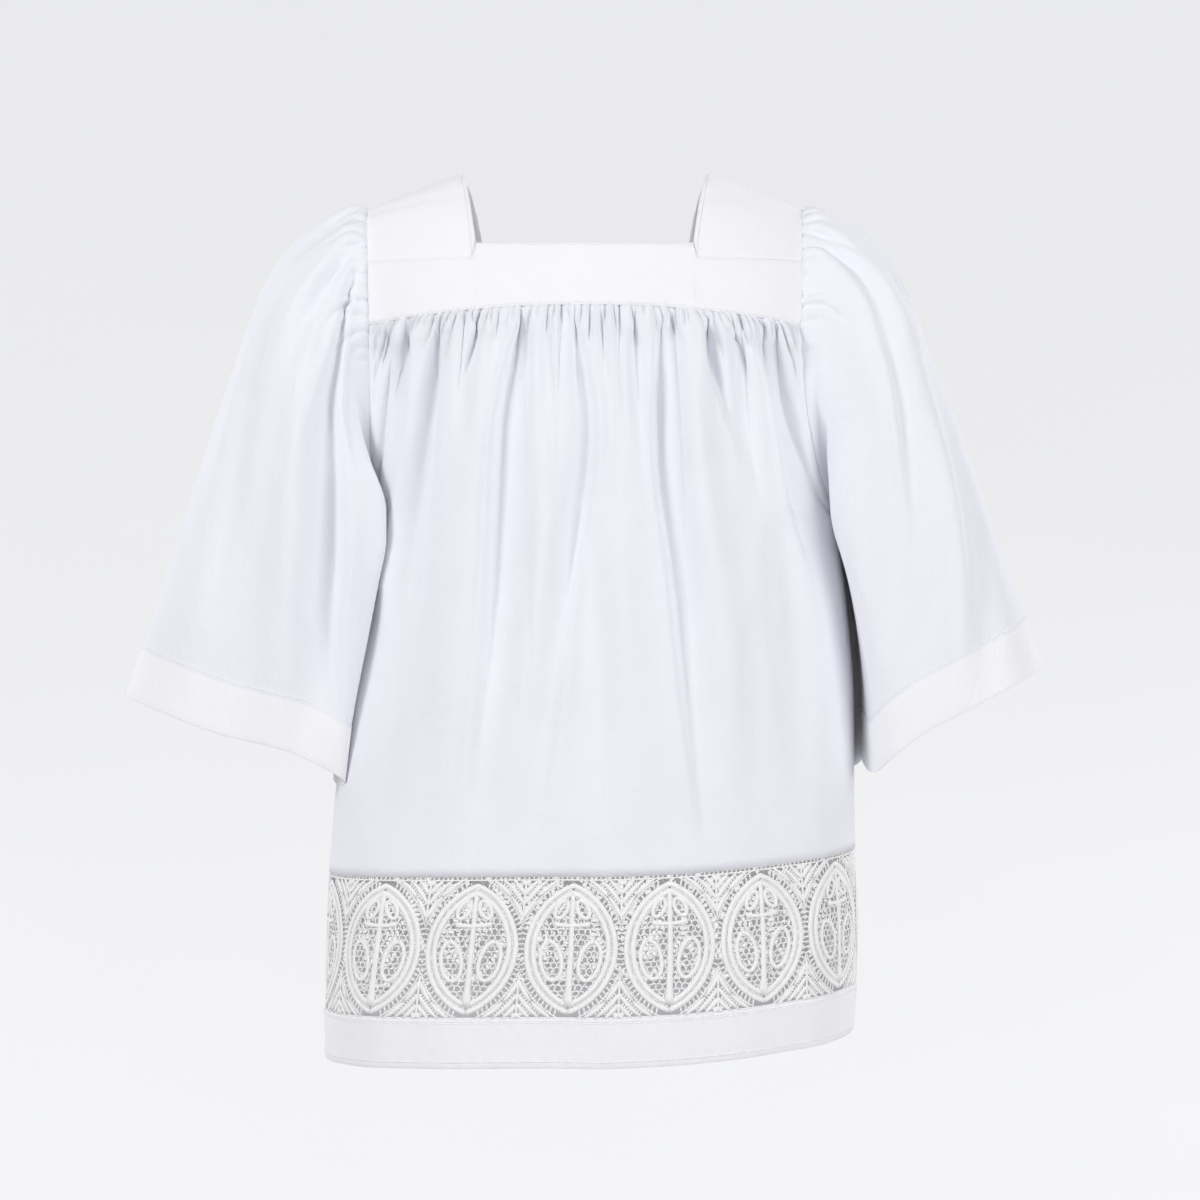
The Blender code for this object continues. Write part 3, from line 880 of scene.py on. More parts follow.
def build_handling_group() -> None:
    """What handling and pressing leave: broad tone changes and small crumples."""
    group = bpy.data.node_groups.new("handling", "ShaderNodeTree")
    socket(group, "Threads", "INPUT", "NodeSocketVector")
    socket(group, "Cloud Size", "INPUT", "NodeSocketFloat", 0.08)
    socket(group, "Crumple Size", "INPUT", "NodeSocketFloat", 0.012)
    socket(group, "Tone", "OUTPUT", "NodeSocketFloat")
    socket(group, "Height", "OUTPUT", "NodeSocketFloat")
    kit = NodeKit(group)
    ends, result = kit.add("NodeGroupInput"), kit.add("NodeGroupOutput")
    found = []
    for size, detail in (("Cloud Size", 2.0), ("Crumple Size", 3.0)):
        noise = kit.add("ShaderNodeTexNoise", noise_dimensions="2D")
        noise.inputs["Detail"].default_value = detail
        noise.inputs["Distortion"].default_value = 0.6
        kit.link(kit.math("DIVIDE", 1.0, ends.outputs[size]), noise.inputs["Scale"])
        kit.link(ends.outputs["Threads"], noise.inputs["Vector"])
        found.append(noise.outputs[0])
    kit.link(found[0], result.inputs["Tone"])
    kit.link(found[1], result.inputs["Height"])


@dataclass(frozen=True)
class Finish:
    """One finish of white thread or cloth."""

    name: str
    light: tuple[float, float, float]
    dark: tuple[float, float, float]
    roughness: float = 0.86
    sheen: float = 0.12
    pitch: float = 0.00048
    weave_depth: float = 0.00006
    crumple_size: float = 0.014
    crumple_depth: float = 0.0006
    cloud_size: float = 0.09
    slub: float = 0.35
    slub_tone: float = 0.25  # share of the slubs in the tone
    tone_from: float = 0.45  # where the ramp between dark and light begins
    rough_swing: float = 0.06

    def material(self) -> bpy.types.Material:
        """The material, made once."""
        found = bpy.data.materials.get(self.name)
        if found:
            return found
        made = bpy.data.materials.new(self.name)
        made.use_nodes = True
        kit = NodeKit(made.node_tree)
        shader = made.node_tree.nodes["Principled BSDF"]
        shader.inputs["Sheen Weight"].default_value = self.sheen
        shader.inputs["Sheen Roughness"].default_value = 0.5
        shader.inputs["Specular IOR Level"].default_value = 0.3
        threads = kit.add("ShaderNodeUVMap", uv_map="threads")
        weave = kit.group("plain_weave", {"Pitch": self.pitch, "Slub": self.slub})
        handling = kit.group("handling", {"Cloud Size": self.cloud_size, "Crumple Size": self.crumple_size})
        for node in (weave, handling):
            kit.link(threads.outputs[0], node.inputs["Threads"])
        slubs = kit.math("MULTIPLY", weave.outputs["Tone"], self.slub_tone)
        tone = kit.math("ADD", slubs, handling.outputs["Tone"])
        ramp = kit.add("ShaderNodeValToRGB")
        ramp.color_ramp.elements[0].position = self.tone_from
        ramp.color_ramp.elements[1].position = 1.0
        ramp.color_ramp.elements[0].color = (*self.dark, 1.0)
        ramp.color_ramp.elements[1].color = (*self.light, 1.0)
        kit.link(tone, ramp.inputs[0])
        kit.link(ramp.outputs[0], shader.inputs["Base Color"])
        swing = kit.math("MULTIPLY", weave.outputs["Tone"], self.rough_swing)
        rough = kit.math("ADD", swing, self.roughness - self.rough_swing)
        kit.link(rough, shader.inputs["Roughness"])
        normal = None
        for node, depth in ((handling, self.crumple_depth), (weave, self.weave_depth)):
            relief = kit.add("ShaderNodeBump")
            relief.inputs["Distance"].default_value = depth
            kit.link(node.outputs["Height"], relief.inputs["Height"])
            if normal:
                kit.link(normal, relief.inputs["Normal"])
            normal = relief.outputs[0]
        kit.link(normal, shader.inputs["Normal"])
        return made


SINGLE = Finish("single cloth", light=(0.885, 0.887, 0.94), dark=(0.86, 0.862, 0.915))
DOUBLED = Finish("doubled cloth", light=(0.93, 0.93, 0.955), dark=(0.91, 0.91, 0.935))
THREAD = Finish("sewing thread", light=(0.94, 0.94, 0.95), dark=(0.92, 0.92, 0.93), sheen=0.3)
LACE_CORD = Finish(
    "lace cord", light=(0.96, 0.96, 0.955), dark=(0.93, 0.93, 0.92), pitch=0.0007, weave_depth=0.00012
)


# ---------------------------------------------------------------- dressing


def dress(
    item: bpy.types.Object,
    slot: Slot,
    nodes: Sequence[str] = (),
    cut: tuple[float, float] | None = None,
    area: float | None = None,
) -> None:
    """Parents a finished piece to the body's empty and hides the CAD nodes it stands for.

    Args:
        item: The piece.
        slot: Not used.
        nodes: The CAD nodes it stands for.
        cut: Not used.
        area: Not used.
    """
    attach(item, BODY)
    if nodes:
        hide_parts(*nodes)


def mesh_piece(name: str, points: Array, faces: list[tuple[int, ...]], finish: Finish) -> bpy.types.Object:
    """Makes an object, shaded smooth.

    Args:
        name: The piece's name.
        points: Its points.
        faces: Its faces, as numbers of points.
        finish: Its finish.

    Returns:
        The new object.
    """
    mesh = bpy.data.meshes.new(name)
    mesh.from_pydata(points.tolist(), [], faces)
    mesh.materials.append(finish.material())
    mesh.polygons.foreach_set("use_smooth", np.ones(len(mesh.polygons), dtype=bool))
    threads = mesh.uv_layers.new(name="threads")
    corners = np.empty(len(mesh.loops), dtype=np.int64)
    mesh.loops.foreach_get("vertex_index", corners)
    flat = np.stack([points[:, 0] + points[:, 1], points[:, 2]], axis=1)
    threads.data.foreach_set("uv", flat[corners].reshape(-1))
    item = bpy.data.objects.new(name, mesh)
    bpy.context.scene.collection.objects.link(item)
    return item


STITCH_START = 0.12  # where in its pitch a stitch begins
STITCH = np.array(
    # place in the pitch, height and half width in threads
    [
        (0.0, -0.35, 0.6),
        (0.14, 0.45, 1.0),
        (0.62, 0.45, 1.0),
        (0.76, -0.35, 0.6),
    ]
)


class ThreadWork:
    """Collects tubes and stitches, and makes one mesh of them."""

    def __init__(self) -> None:
        """Starts with nothing."""
        self.points: list[Array] = []
        self.faces: list[tuple[int, ...]] = []
        self.count = 0

    def tube(
        self, centres: Array, normals: Array, wide: Array | float, thick: Array | float, sides: int = 6
    ) -> None:
        """Adds a closed flat cord.

        Args:
            centres: Points along it.
            normals: The outward normals of the cloth there.
            wide: Half width along it.
            thick: Half thickness along it.
            sides: Corners of its section.
        """
        rings = len(centres)
        ahead = np.gradient(centres, axis=0)
        ahead /= np.maximum(np.linalg.norm(ahead, axis=1, keepdims=True), TINY)
        beside = np.cross(ahead, normals)
        beside /= np.maximum(np.linalg.norm(beside, axis=1, keepdims=True), TINY)
        out = np.cross(beside, ahead)
        wide = np.broadcast_to(wide, rings)[:, None, None]
        thick = np.broadcast_to(thick, rings)[:, None, None]
        angle = (np.arange(sides) + 0.5) * 2 * math.pi / sides
        cos, sin = np.cos(angle)[None, :, None], np.sin(angle)[None, :, None]
        ring = centres[:, None] + beside[:, None] * cos * wide + out[:, None] * sin * thick
        self.points.append(ring.reshape(-1, 3))
        base = self.count
        for i in range(rings - 1):
            for j in range(sides):
                k = (j + 1) % sides
                a, b = base + i * sides, base + (i + 1) * sides
                self.faces.append((a + j, b + j, b + k, a + k))
        self.faces.append(tuple(base + j for j in range(sides)))
        self.faces.append(tuple(base + (rings - 1) * sides + j for j in reversed(range(sides))))
        self.count += rings * sides

    def stitches(self, points: Array, normals: Array, pitch: float = 0.0027, thread: float = 0.00036) -> None:
        """Adds a row of stitches along a line on the cloth.

        Args:
            points: Points along the line.
            normals: The outward normals of the cloth there.
            pitch: Distance from stitch to stitch.
            thread: Half width of the thread.
        """
        lengths = np.linalg.norm(np.diff(points, axis=0), axis=1)
        along = np.concatenate([[0], np.cumsum(lengths)])
        count = max(1, int(along[-1] / pitch))
        for i in range(count):
            start = (i + STITCH_START) * along[-1] / count
            wanted = start + STITCH[:, 0] * along[-1] / count
            line = np.stack([np.interp(wanted, along, points[:, k]) for k in range(3)], axis=1)
            out = np.stack([np.interp(wanted, along, normals[:, k]) for k in range(3)], axis=1)
            line = line + out * (STITCH[:, 1] * thread)[:, None]
            self.tube(line, out, thread * STITCH[:, 2], thread, sides=4)

    def piece(self, name: str, finish: Finish) -> bpy.types.Object:
        """Makes the object of all that was added."""
        return mesh_piece(name, np.concatenate(self.points), self.faces, finish)


@dataclass(frozen=True)
class StitchRow:
    """A row of stitches, with its row and its first and last column as fractions of the cloth."""

    row: float
    first: float
    last: float
    points: int


def sew(
    cloth: Cloth,
    item: bpy.types.Object,
    name: str,
    rows: Sequence[StitchRow],
    slot: Slot,
    cut: tuple[float, float],
    area: float | None = None,
) -> list[bpy.types.Object]:
    """Stitches a piece of cloth and dresses it with its thread.

    Args:
        cloth: The cloth's face.
        item: The piece made of it.
        name: The CAD node that the piece stands for.
        rows: Its rows of stitches.
        slot: Its material slot, passed on to dress.
        cut: Width and length of the flat cloth.
        area: Its flat area where the cut isn't a rectangle.

    Returns:
        The piece and its thread.
    """
    work = ThreadWork()
    for line in rows:
        columns = np.linspace(line.first, line.last, line.points)
        work.stitches(*cloth.place(np.full_like(columns, line.row), columns, STITCH_LIFT))
    thread = work.piece(f"{name}_stitches", THREAD)
    dress(thread, slot)
    dress(item, slot, [name], cut=cut, area=area)
    return [item, thread]


def fine_rows(count: int, first: float = 0.35) -> Array:
    """Fractions from 0 to 1 that start close together."""
    part = np.linspace(0, 1, count + 1)
    return first * part + (1 - first) * part**2


# ---------------------------------------------------------------- body


# Across is x and down is the drop from the origin.
PANEL_FOLDS = {
    Facing.FRONT: (
        Fold(
            (-0.048, -0.070, -0.075, -0.084, -0.096), (0.108, 0.600), 0.0055, -0.0110, lean=-0.55, spread=0.9
        ),
        Fold((-0.076, -0.094, -0.102, -0.112), (0.150, 0.600), 0.017, 0.0055),
        Fold((-0.014, 0.004, -0.014, -0.030, -0.050), (0.106, 0.600), 0.0052, -0.0085, lean=0.4, spread=0.9),
        Fold((-0.026, -0.034, -0.046, -0.064), (0.130, 0.600), 0.015, 0.0040),
        Fold((0.022, 0.026, 0.030, 0.036), (0.112, 0.640), 0.017, 0.0040),
        Fold((0.040, 0.044, 0.050), (0.104, 0.270), 0.0045, -0.0060),
        Fold((0.068, 0.063, 0.078, 0.093, 0.112), (0.104, 0.620), 0.0055, -0.0110, lean=-0.55, spread=0.9),
        Fold((0.092, 0.100, 0.124, 0.146), (0.130, 0.560), 0.017, 0.0050),
        Fold((0.121, 0.130, 0.140), (0.106, 0.260), 0.0045, -0.0065),
        Fold((0.100, 0.104, 0.110), (0.104, 0.200), 0.0042, -0.0055),
        Fold((0.140, 0.164, 0.180, 0.204), (0.108, 0.370), 0.0058, -0.0150, lean=-0.5),
        Fold((-0.140, -0.160, -0.176), (0.110, 0.260), 0.0048, -0.0065),
        Fold((-0.158, -0.172, -0.182), (0.110, 0.230), 0.0042, -0.0055),
        Fold((-0.118, -0.134, -0.146), (0.110, 0.330), 0.0055, -0.0060),
        Fold((-0.124, -0.146, -0.160, -0.168), (0.140, 0.580), 0.009, -0.0090, lean=-0.5, spread=0.9),
        Fold((-0.106, -0.124, -0.132, -0.138), (0.150, 0.560), 0.015, 0.0045),
        Fold((-0.088, -0.096, -0.104), (0.108, 0.250), 0.0045, -0.0055),
        Fold((-0.030, -0.032, -0.040), (0.106, 0.260), 0.0045, -0.0050),
        Fold((0.098, 0.112, 0.134), (0.112, 0.250), 0.0042, -0.0075, lean=-0.4),
        Fold((0.166, 0.178, 0.186), (0.300, 0.600), 0.012, -0.0070),
        Fold((0.004, 0.012, 0.018), (0.300, 0.640), 0.013, -0.0060),
        Fold((-0.178, -0.180, -0.186), (0.360, 0.640), 0.013, -0.0060),
        Fold((0.140, 0.146, 0.150), (0.380, 0.640), 0.014, -0.0050),
    ),
    Facing.BACK: (
        Fold((-0.156, -0.168, -0.178), (0.108, 0.330), 0.0065, -0.0090),
        Fold((-0.128, -0.142, -0.150, -0.158), (0.106, 0.520), 0.0070, -0.0090, lean=0.3),
        Fold((-0.096, -0.101, -0.112), (0.122, 0.560), 0.017, 0.0050),
        Fold((-0.058, -0.060, -0.071, -0.084), (0.102, 0.600), 0.0068, -0.0110, lean=-0.55, spread=0.9),
        Fold((-0.030, -0.034, -0.038), (0.102, 0.270), 0.0055, -0.0085),
        Fold((0.014, 0.010, 0.012, 0.002), (0.100, 0.600), 0.0066, -0.0105, lean=0.3),
        Fold((0.052, 0.061, 0.074), (0.122, 0.580), 0.017, 0.0045),
        Fold((0.088, 0.094, 0.108, 0.122), (0.102, 0.580), 0.0068, -0.0105),
        Fold((0.118, 0.128, 0.136), (0.106, 0.280), 0.0055, -0.0080),
        Fold((0.142, 0.158, 0.170), (0.108, 0.460), 0.0085, -0.0110),
        Fold((-0.010, -0.014, -0.020), (0.330, 0.640), 0.014, -0.0060),
        Fold((0.160, 0.166, 0.172), (0.360, 0.640), 0.013, -0.0060),
    ),
}


@dataclass
class Panel:
    """A gathered width of cloth from a yoke seam to the lace."""

    facing: Facing
    yoke: YokeForm = YokeForm()
    across: int = 672
    down: int = 96
    coarse_from: int = 26
    tuck: float = 0.004
    wall: float = 0.0005
    cut: tuple[float, float] = (0.583, 0.50)
    cut_area: float = 0.262
    gathers: Gathers = Gathers(pitch=0.0056, depth=0.0040, reach=0.044, seed=7)
    drapes: Gathers = Gathers(
        pitch=0.0195, depth=0.0042, reach=0.260, seed=16, puff=0, narrow=0.0030, fan=0.16, widen=0.022
    )
    calm_edge: float = 0.035  # share of the width over which folds fade at each side
    edge_gathers: float = 0.25
    fold_start: tuple[float, float] = (-0.001, 0.020)  # distances below the seam
    fold_end: tuple[float, float] = (0.545, 0.600)  # drops from the origin
    drape_end: tuple[float, float] = (0.36, 0.46)  # distances below the seam
    seam_depth: float = 0.0012
    seam_span: tuple[float, float] = (-0.002, 0.003)

    def row(self, part: float) -> Array:
        """One row of points.

        Args:
            part: 0 in the seam and 1 at the lace.

        Returns:
            The row, as BodyForm.row gives it.
        """
        body = self.yoke.body

        def z_line(x: Array) -> Array:
            """Height of the row at x."""
            top = self.yoke.seam_z(x, self.facing) + self.tuck
            low = body.lace_top_z + body.lift(x, body.lace_top_z)
            return top + (low - top) * part

        return body.row(z_line, self.facing, self.across)

    def cloth(self) -> Cloth:
        """The panel's face with its folds and gathers."""
        flat = Cloth(np.array([self.row(part) for part in fine_rows(self.down)]))
        x, z = flat.points[..., 0], flat.points[..., 2]
        below = self.yoke.seam_z(x, self.facing) - z
        share = np.linspace(0, 1, self.across + 1)
        edge = rise(np.minimum(share, 1 - share), 0, self.calm_edge)[None, :]
        heights = sum(fold.lift(x, -z) for fold in PANEL_FOLDS[self.facing])
        heights *= edge * rise(below, *self.fold_start) * (1 - rise(-z, *self.fold_end))
        heights += self.yoke.body.ripple(x, z, self.facing)
        flat = flat.lifted(heights)
        length = 2 * self.yoke.arm_seam
        hang = np.broadcast_to(share * length, x.shape)
        weight = self.edge_gathers + (1 - self.edge_gathers) * edge
        pleats = self.gathers.lift(hang, below, length, weight)
        pleats += self.drapes.lift(hang, below, length, edge * (1 - rise(below, *self.drape_end)))
        tucked = -self.seam_depth * (1 - rise(below, *self.seam_span))
        return flat.lifted(pleats + tucked)

    def build(self) -> list[bpy.types.Object]:
        """Makes and dresses the panel.

        Returns:
            The panel alone, since no stitches show on it.
        """
        name = f"{self.facing.label}_panel"
        item = self.cloth().piece(f"{name}_cloth", SINGLE, wall=self.wall, coarse_from=self.coarse_from)
        dress(item, Slot.PLAIN, [name], cut=self.cut, area=self.cut_area)
        return [item]


@dataclass
class YokeBand:
    """A doubled band between the straps and the gathers."""

    facing: Facing
    yoke: YokeForm = YokeForm()
    across: int = 150
    down: int = 26
    wall: float = 0.0016
    proud: float = 0.0007
    cut: tuple[float, float] = (0.40, 0.056)
    creases: tuple[tuple[float, float, float], ...] = (
        # x at the top, how far it slides on the way down, depth
        (-0.088, 0.050, 0.0009),
        (-0.060, 0.036, 0.0005),
        (0.086, -0.062, 0.0008),
        (0.052, -0.040, 0.0005),
        (0.140, -0.022, 0.0005),
        (-0.142, 0.020, 0.0005),
    )
    crease_width: float = 0.0035
    crease_fade: float = 0.7
    ripple: tuple[float, float, float] = (0.0004, 61.0, 1.7)  # height, radians in a metre, phase
    edge_roll: float = 0.0005
    roll_width: float = 0.05
    join_flat: tuple[float, float] = (0.8, 0.16)  # how flat the band lies at a strap, and how far down
    rows: tuple[StitchRow, ...] = (StitchRow(0.045, 0.004, 0.996, 260), StitchRow(0.955, 0.004, 0.996, 260))
    pull: tuple[float, float] = (0.0003, 0.02)  # depth and width of the dent under a row of stitches

    def cloth(self) -> Cloth:
        """The band's face."""
        yoke = self.yoke
        shares = np.linspace(-1, 1, self.across + 1)
        if self.facing is Facing.BACK:
            shares = shares[::-1]
        rows = []
        for part in np.linspace(0, 1, self.down + 1):
            reach = np.full_like(shares, yoke.arm_seam)
            for _ in range(4):
                x = shares * reach
                top = yoke.top_z(x, self.facing)
                turn = yoke.turn(x, top + (yoke.seam_z(x, self.facing) - top) * part, self.facing)
                reach = yoke.arm_x(turn)
            rows.append(yoke.point(x, turn, self.facing))
        flat = Cloth(np.array(rows))
        x, part = flat.points[..., 0], np.linspace(0, 1, self.down + 1)[:, None]
        high, turns, phase = self.ripple
        ripple = high * np.sin(x * turns + phase * self.facing.value) * np.sin(math.pi * part)
        for start, slope, deep in self.creases:
            off = x - start - slope * part
            fade = np.sin(math.pi * np.clip(part, 0, 1)) ** self.crease_fade
            ripple = ripple - deep * bump(off, self.crease_width) * fade
        deep, wide = self.pull
        for line in self.rows:
            ripple = ripple - deep * bump(part - line.row, wide)
        roll = -self.edge_roll * (bump(part, self.roll_width) + bump(1 - part, self.roll_width))
        flatness, reach = self.join_flat
        beside = rise(np.abs(x), yoke.neck_low, yoke.neck_low + yoke.corner) * bump(part, reach)
        return flat.lifted(self.proud * (1 - flatness * beside) + ripple + roll * (1 - beside))

    def build(self) -> list[bpy.types.Object]:
        """Makes and dresses the band with its rows of stitches.

        Returns:
            The piece and its thread.
        """
        cloth = self.cloth()
        name = f"yoke_{self.facing.label}"
        item = cloth.piece(f"{name}_cloth", DOUBLED, wall=self.wall)
        return sew(cloth, item, name, self.rows, Slot.DOUBLE, self.cut)


@dataclass
class Strap:
    """One shoulder strap, over the shoulder from band to band."""

    side: Side
    yoke: YokeForm = YokeForm()
    across: int = 44
    along: int = 96
    wall: float = 0.0012
    cut: tuple[float, float] = (0.098, 0.215)
    lap: float = 0.003  # how far it goes down behind the band's top edge
    creases: tuple[tuple[float, float, float, float], ...] = (
        # place along it, slope across it, depth, width
        (0.24, 0.10, 0.0012, 0.035),
        (0.80, -0.12, 0.0010, 0.04),
    )
    edge_roll: float = 0.0006
    roll_width: float = 0.04
    end_tuck: float = 0.0009
    tuck_span: tuple[float, float] = (0.006, 0.030)
    rows: tuple[StitchRow, ...] = (StitchRow(0.04, 0.02, 0.98, 120),)

    def cloth(self) -> Cloth:
        """The strap's face, in lines from front to back."""
        lines = []
        yoke, half = self.yoke, self.along // 2
        for share in np.linspace(0, 1, self.across + 1):
            line: list[Array] = []
            for facing in Facing:
                end = np.array(1.0)
                for _ in range(4):
                    inner, outer = yoke.neck_x(end, facing), yoke.arm_x(end)
                    x = inner + (outer - inner) * share
                    end = yoke.turn(x, yoke.top_z(x, facing) - self.lap, facing)
                turn = np.linspace(0, float(end), half + 1)
                inner, outer = yoke.neck_x(turn, facing), yoke.arm_x(turn)
                part = yoke.point(self.side.value * (inner + (outer - inner) * share), turn, facing)
                line.extend(part[::-1] if facing is Facing.FRONT else part[1:])
            lines.append(line)
        flat = Cloth(np.array(lines), outward=self.side.value)
        share = np.linspace(0, 1, self.across + 1)[:, None]
        along = np.linspace(0, 1, self.along + 1)[None, :]
        crease = sum(
            -deep * bump(along - place - slope * share, wide) for place, slope, deep, wide in self.creases
        )
        roll = -self.edge_roll * bump(share, self.roll_width)
        tucked = -self.end_tuck * (1 - rise(np.minimum(along, 1 - along), *self.tuck_span))
        return flat.lifted(crease + roll + tucked)

    def build(self) -> list[bpy.types.Object]:
        """Makes and dresses the strap with the stitches along its neck edge.

        Returns:
            The piece and its thread.
        """
        cloth = self.cloth()
        name = f"strap_{self.side.label}"
        item = cloth.piece(f"{name}_cloth", DOUBLED, wall=self.wall)
        return sew(cloth, item, name, self.rows, Slot.DOUBLE, self.cut)


@dataclass
class HemBand:
    """The plain doubled band under the lace, on one face of the skirt."""

    facing: Facing
    body: BodyForm = BodyForm()
    across: int = 190
    down: int = 14
    lap: float = 0.0025
    gap: float = 0.0011
    wall: float = 0.0005
    cut: tuple[float, float] = (0.583, 0.088)
    proud: float = 0.0006
    edge_roll: float = 0.0005
    pucker: tuple[float, float] = (0.00035, 410.0)  # height, radians in a metre
    seam_rows: tuple[float, ...] = (0.06, 0.10, 0.88)  # shares of the band's height
    stitch_points: int = 420

    def cloth(self) -> Cloth:
        """Outer layer down to the hem, then the turned layer back up inside."""
        body = self.body
        levels = np.linspace(body.lace_low_z + self.lap, body.hem_z, self.down + 1)
        flat = Cloth(np.array([body.level_row(level, self.facing, self.across) for level in levels]))
        x, z = flat.points[..., 0], flat.points[..., 2]
        part = np.linspace(0, 1, self.down + 1)[:, None]
        roll = -self.edge_roll * (bump(part, 0.06) + bump(1 - part, 0.05))
        high, turns = self.pucker
        pucker = high * np.sin(x * turns) * (bump(part - 0.12, 0.1) + bump(part - 0.9, 0.1))
        outer = flat.lifted(body.ripple(x, z, self.facing) + self.proud + roll + pucker)
        return turned_in(outer, self.down, self.gap)

    def build(self) -> list[bpy.types.Object]:
        """Makes and dresses the band with its rows of stitches.

        Returns:
            The piece and its thread.
        """
        cloth = self.cloth()
        name = f"hem_{self.facing.label}"
        item = cloth.piece(f"{name}_cloth", DOUBLED, wall=self.wall)
        spans = len(cloth.points) - 1
        levels = [part * self.down / spans for part in self.seam_rows]
        rows = [StitchRow(level, 0.003, 0.997, self.stitch_points) for level in levels]
        return sew(cloth, item, name, rows, Slot.DOUBLE, self.cut)


def turned_in(outer: Cloth, depth: int, gap: float) -> Cloth:
    """Turns the foot of a cloth up inside itself.

    Args:
        outer: The outer layer, ending at the fold.
        depth: How many rows the turned layer has.
        gap: Distance between the layers.

    Returns:
        The outer layer, the rounded fold and the inner layer as one cloth.
    """
    normals = outer.normals
    ahead = outer.points[-1] - outer.points[-2]
    ahead /= np.linalg.norm(ahead, axis=1, keepdims=True)
    fold = [
        outer.points[-1] - normals[-1] * gap * (1 - math.cos(a)) / 2 + ahead * gap * math.sin(a) / 2
        for a in np.linspace(0, math.pi, 5)[1:-1]
    ]
    inner = (outer.points - normals * gap)[::-1][: depth + 1]
    return Cloth(np.concatenate([outer.points, np.array(fold), inner]), outer.closed, outer.outward)


# ---------------------------------------------------------------- sleeves


# Across runs from the underarm over the front.
SLEEVE_FOLDS = {
    Side.RIGHT: (
        Fold(
            (0.235, 0.155, 0.136, 0.130, 0.124, 0.118, 0.113, 0.106, 0.099, 0.091, 0.083, 0.077, 0.072),
            (0.000, 0.540),
            0.0080,
            -0.0140,
            lean=-0.4,
        ),
        Fold((0.112, 0.106, 0.092, 0.078), (0.080, 0.540), 0.009, 0.0045),
        Fold((0.190, 0.160, 0.144, 0.132, 0.116), (0.060, 0.560), 0.017, 0.0065),
        Fold((0.240, 0.212, 0.200), (0.000, 0.120), 0.007, -0.0070),
        Fold((0.258, 0.243, 0.223, 0.206, 0.190, 0.176), (0.020, 0.460), 0.013, -0.0060, lean=0.2),
        Fold((0.240, 0.226, 0.208, 0.196), (0.030, 0.300), 0.011, 0.0030),
        Fold((0.172, 0.164, 0.152), (0.200, 0.560), 0.013, -0.0045),
        Fold((0.268, 0.272, 0.262), (0.000, 0.260), 0.008, -0.0080),
        Fold((0.350, 0.360, 0.375), (0.000, 0.330), 0.010, -0.0100),
        Fold((0.380, 0.410, 0.430), (0.000, 0.420), 0.010, -0.0090),
        Fold((0.420, 0.430, 0.440), (0.040, 0.480), 0.018, 0.0070),
        Fold((0.440, 0.490, 0.505), (0.020, 0.520), 0.012, -0.0140),
    ),
    Side.LEFT: (
        Fold((0.096, 0.090, 0.084), (0.120, 0.520), 0.016, 0.0050),
        Fold((0.224, 0.180, 0.152, 0.138), (0.060, 0.340), 0.010, -0.0050, lean=-0.2),
        Fold((0.240, 0.227, 0.200, 0.160, 0.138), (0.060, 0.500), 0.014, 0.0060),
        Fold((0.238, 0.226, 0.206, 0.180, 0.154), (0.140, 0.500), 0.012, -0.0065),
        Fold((0.250, 0.232, 0.214), (0.000, 0.120), 0.007, -0.0070),
        Fold((0.292, 0.285, 0.256, 0.246), (0.020, 0.170), 0.0050, -0.0105, lean=-0.3),
        Fold((0.274, 0.268, 0.262), (0.010, 0.140), 0.009, 0.0040),
        Fold((0.350, 0.360, 0.370), (0.000, 0.320), 0.010, -0.0100),
        Fold((0.380, 0.405, 0.420), (0.000, 0.400), 0.010, -0.0090),
        Fold((0.425, 0.430, 0.435), (0.060, 0.480), 0.018, 0.0070),
        Fold((0.450, 0.495, 0.500), (0.030, 0.520), 0.012, -0.0130),
    ),
}


